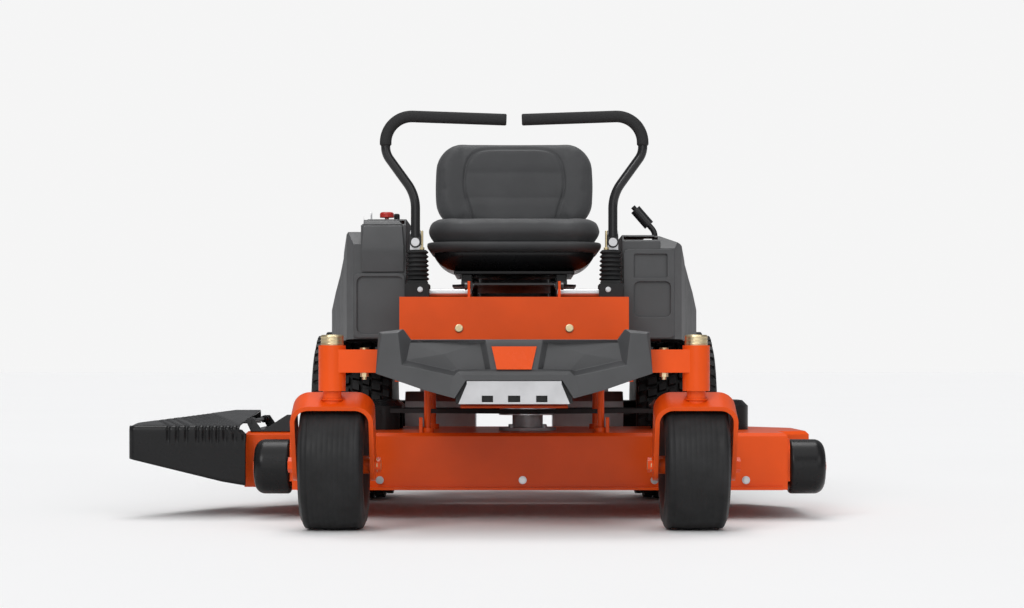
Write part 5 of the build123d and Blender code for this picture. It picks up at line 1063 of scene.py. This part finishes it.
def belt(name, circles, z, body):
    """A V belt round the outside of some pulleys, following the hull of their circles."""
    half_height, thickness, narrow = 5.5 * MM, 7 * MM, 0.6
    points = []
    for x, y, r in circles:
        angles = [2 * math.pi * step / 72 for step in range(72)]
        points += [(x + r * math.cos(angle), y + r * math.sin(angle)) for angle in angles]
    points = sorted(points)

    def chain(ordered):
        kept = []
        for p in ordered:
            while len(kept) > 1 and ((kept[-1][0] - kept[-2][0]) * (p[1] - kept[-2][1])
                                     - (kept[-1][1] - kept[-2][1]) * (p[0] - kept[-2][0])) <= 0:
                kept.pop()
            kept.append(p)
        return kept[:-1]

    outline = chain(points) + chain(points[::-1])
    verts = []
    count = len(outline)
    for index, (x, y) in enumerate(outline):
        before, after = outline[index - 1], outline[(index + 1) % count]
        along = Vector((after[0] - before[0], after[1] - before[1], 0)).normalized()
        out = Vector((along.y, -along.x, 0))
        for reach, lift in ((0.0, half_height * narrow), (0.0, -half_height * narrow),
                            (thickness, -half_height), (thickness, half_height)):
            verts.append(Vector((x, y, z + lift)) + out * reach)
    make(name, verts, ring_faces(count, 4), "rubber", body, smooth=False)


def belts():
    """The blade belt round the three spindle pulleys and the drive belt round crank and inputs."""
    centres = [span("blade_" + place)[2] for place in ("right", "centre", "left")]
    blade_top = span("blade_centre")[1].z
    belt("blade_belt", [(c.x, c.y, 62 * MM) for c in centres], blade_top - 14 * MM, "deck")
    inputs = [span("input_pulley_" + side)[2] for side in SIDES]
    crank = span("crankshaft")[2]
    circles = [(c.x, c.y, 44.5 * MM) for c in inputs] + [(crank.x, crank.y, 52 * MM)]
    belt("drive_belt", circles, inputs[-1].z, "chassis")


def skid_gap_shade():
    """Painted shade: the dark plate that closes the notch of the cover behind the bright skid plate,
    standing in for the shadowed gap there.
    """
    low, high, mid = span("skid_plate")
    half = 126 * MM
    verts, faces = block((mid.x - half, high.y + 0.5 * MM, low.z), (mid.x + half, high.y + 2.5 * MM, 0.331))
    # painted shade: a black sheet where the gap round the skid plate lies in shadow
    make("skid_gap_shade", verts, faces, "black_paint", "chassis", smooth=False)


front_cover()
skid_gap_shade()
discharge_deflector()
console_faces()
lever_hardware()
deck_bolts()
caster_hardware()
belts()


# ---- Studio ----
def pale_floor():
    """A wide, plain, pale floor."""
    floor = bpy.data.meshes.new("floor")
    half = 400.0
    corners = [(-half, -half, 0), (half, -half, 0), (half, half, 0), (-half, half, 0)]
    floor.from_pydata(corners, [], [(0, 1, 2, 3)])
    plane = bpy.data.objects.new("floor", floor)
    bpy.context.collection.objects.link(plane)
    shader = Shader("floor")
    shader.colour(shader.ramp(shader.noise(0.6, 3.0), [(0.3, (0.875,) * 3), (0.7, (0.885,) * 3)]))
    shader.set(Roughness=0.7)
    floor.materials.append(shader.material)


def soft_light():
    """A dim sky that looks as pale as the floor, and wide suns from five sides."""
    world = bpy.data.worlds.new("studio")
    world.use_nodes = True
    tree = world.node_tree
    soft = tree.nodes["Background"]
    soft.inputs["Color"].default_value = (0.96, 0.97, 1.0, 1.0)
    soft.inputs["Strength"].default_value = 0.27
    shown = tree.nodes.new("ShaderNodeBackground")
    shown.inputs["Color"].default_value = (0.915, 0.915, 0.915, 1.0)
    rays = tree.nodes.new("ShaderNodeLightPath")
    mix = tree.nodes.new("ShaderNodeMixShader")
    tree.links.new(rays.outputs["Is Camera Ray"], mix.inputs["Fac"])
    tree.links.new(soft.outputs["Background"], mix.inputs[1])
    tree.links.new(shown.outputs["Background"], mix.inputs[2])
    tree.links.new(mix.outputs["Shader"], tree.nodes["World Output"].inputs["Surface"])
    bpy.context.scene.world = world

    def sun(name, towards, strength, spread):
        light = bpy.data.lights.new(name, "SUN")
        light.energy = strength
        light.angle = math.radians(spread)
        lamp = bpy.data.objects.new(name, light)
        lamp.rotation_euler = Vector(towards).to_track_quat("-Z", "Y").to_euler()
        bpy.context.collection.objects.link(lamp)

    sun("top", (0.05, 0.35, -1.0), 0.85, 55)
    sun("rim", (0.02, -0.38, -1.0), 0.95, 30)
    sun("key", (0.5, 0.9, -0.7), 1.1, 25)
    sun("fill", (-0.6, 0.75, -0.5), 0.5, 35)
    sun("front", (0.05, 1.0, -0.12), 0.55, 45)


def place_camera():
    """The photograph's view: level, ahead of the front axle, at the height of the front cover."""
    distance, height = 4.76, 0.35
    camera = bpy.data.cameras.new("camera")
    camera.lens = 76.06
    camera.sensor_width = 36.0
    camera.shift_x = -0.0021
    camera.shift_y = 0.0648
    view = bpy.data.objects.new("camera", camera)
    view.location = (MID_X, FRONT_AXLE.y - distance, height)
    view.rotation_euler = (math.radians(90), 0, 0)
    bpy.context.collection.objects.link(view)
    bpy.context.scene.camera = view
    bpy.context.scene.view_settings.view_transform = "Standard"


pale_floor()
soft_light()
place_camera()
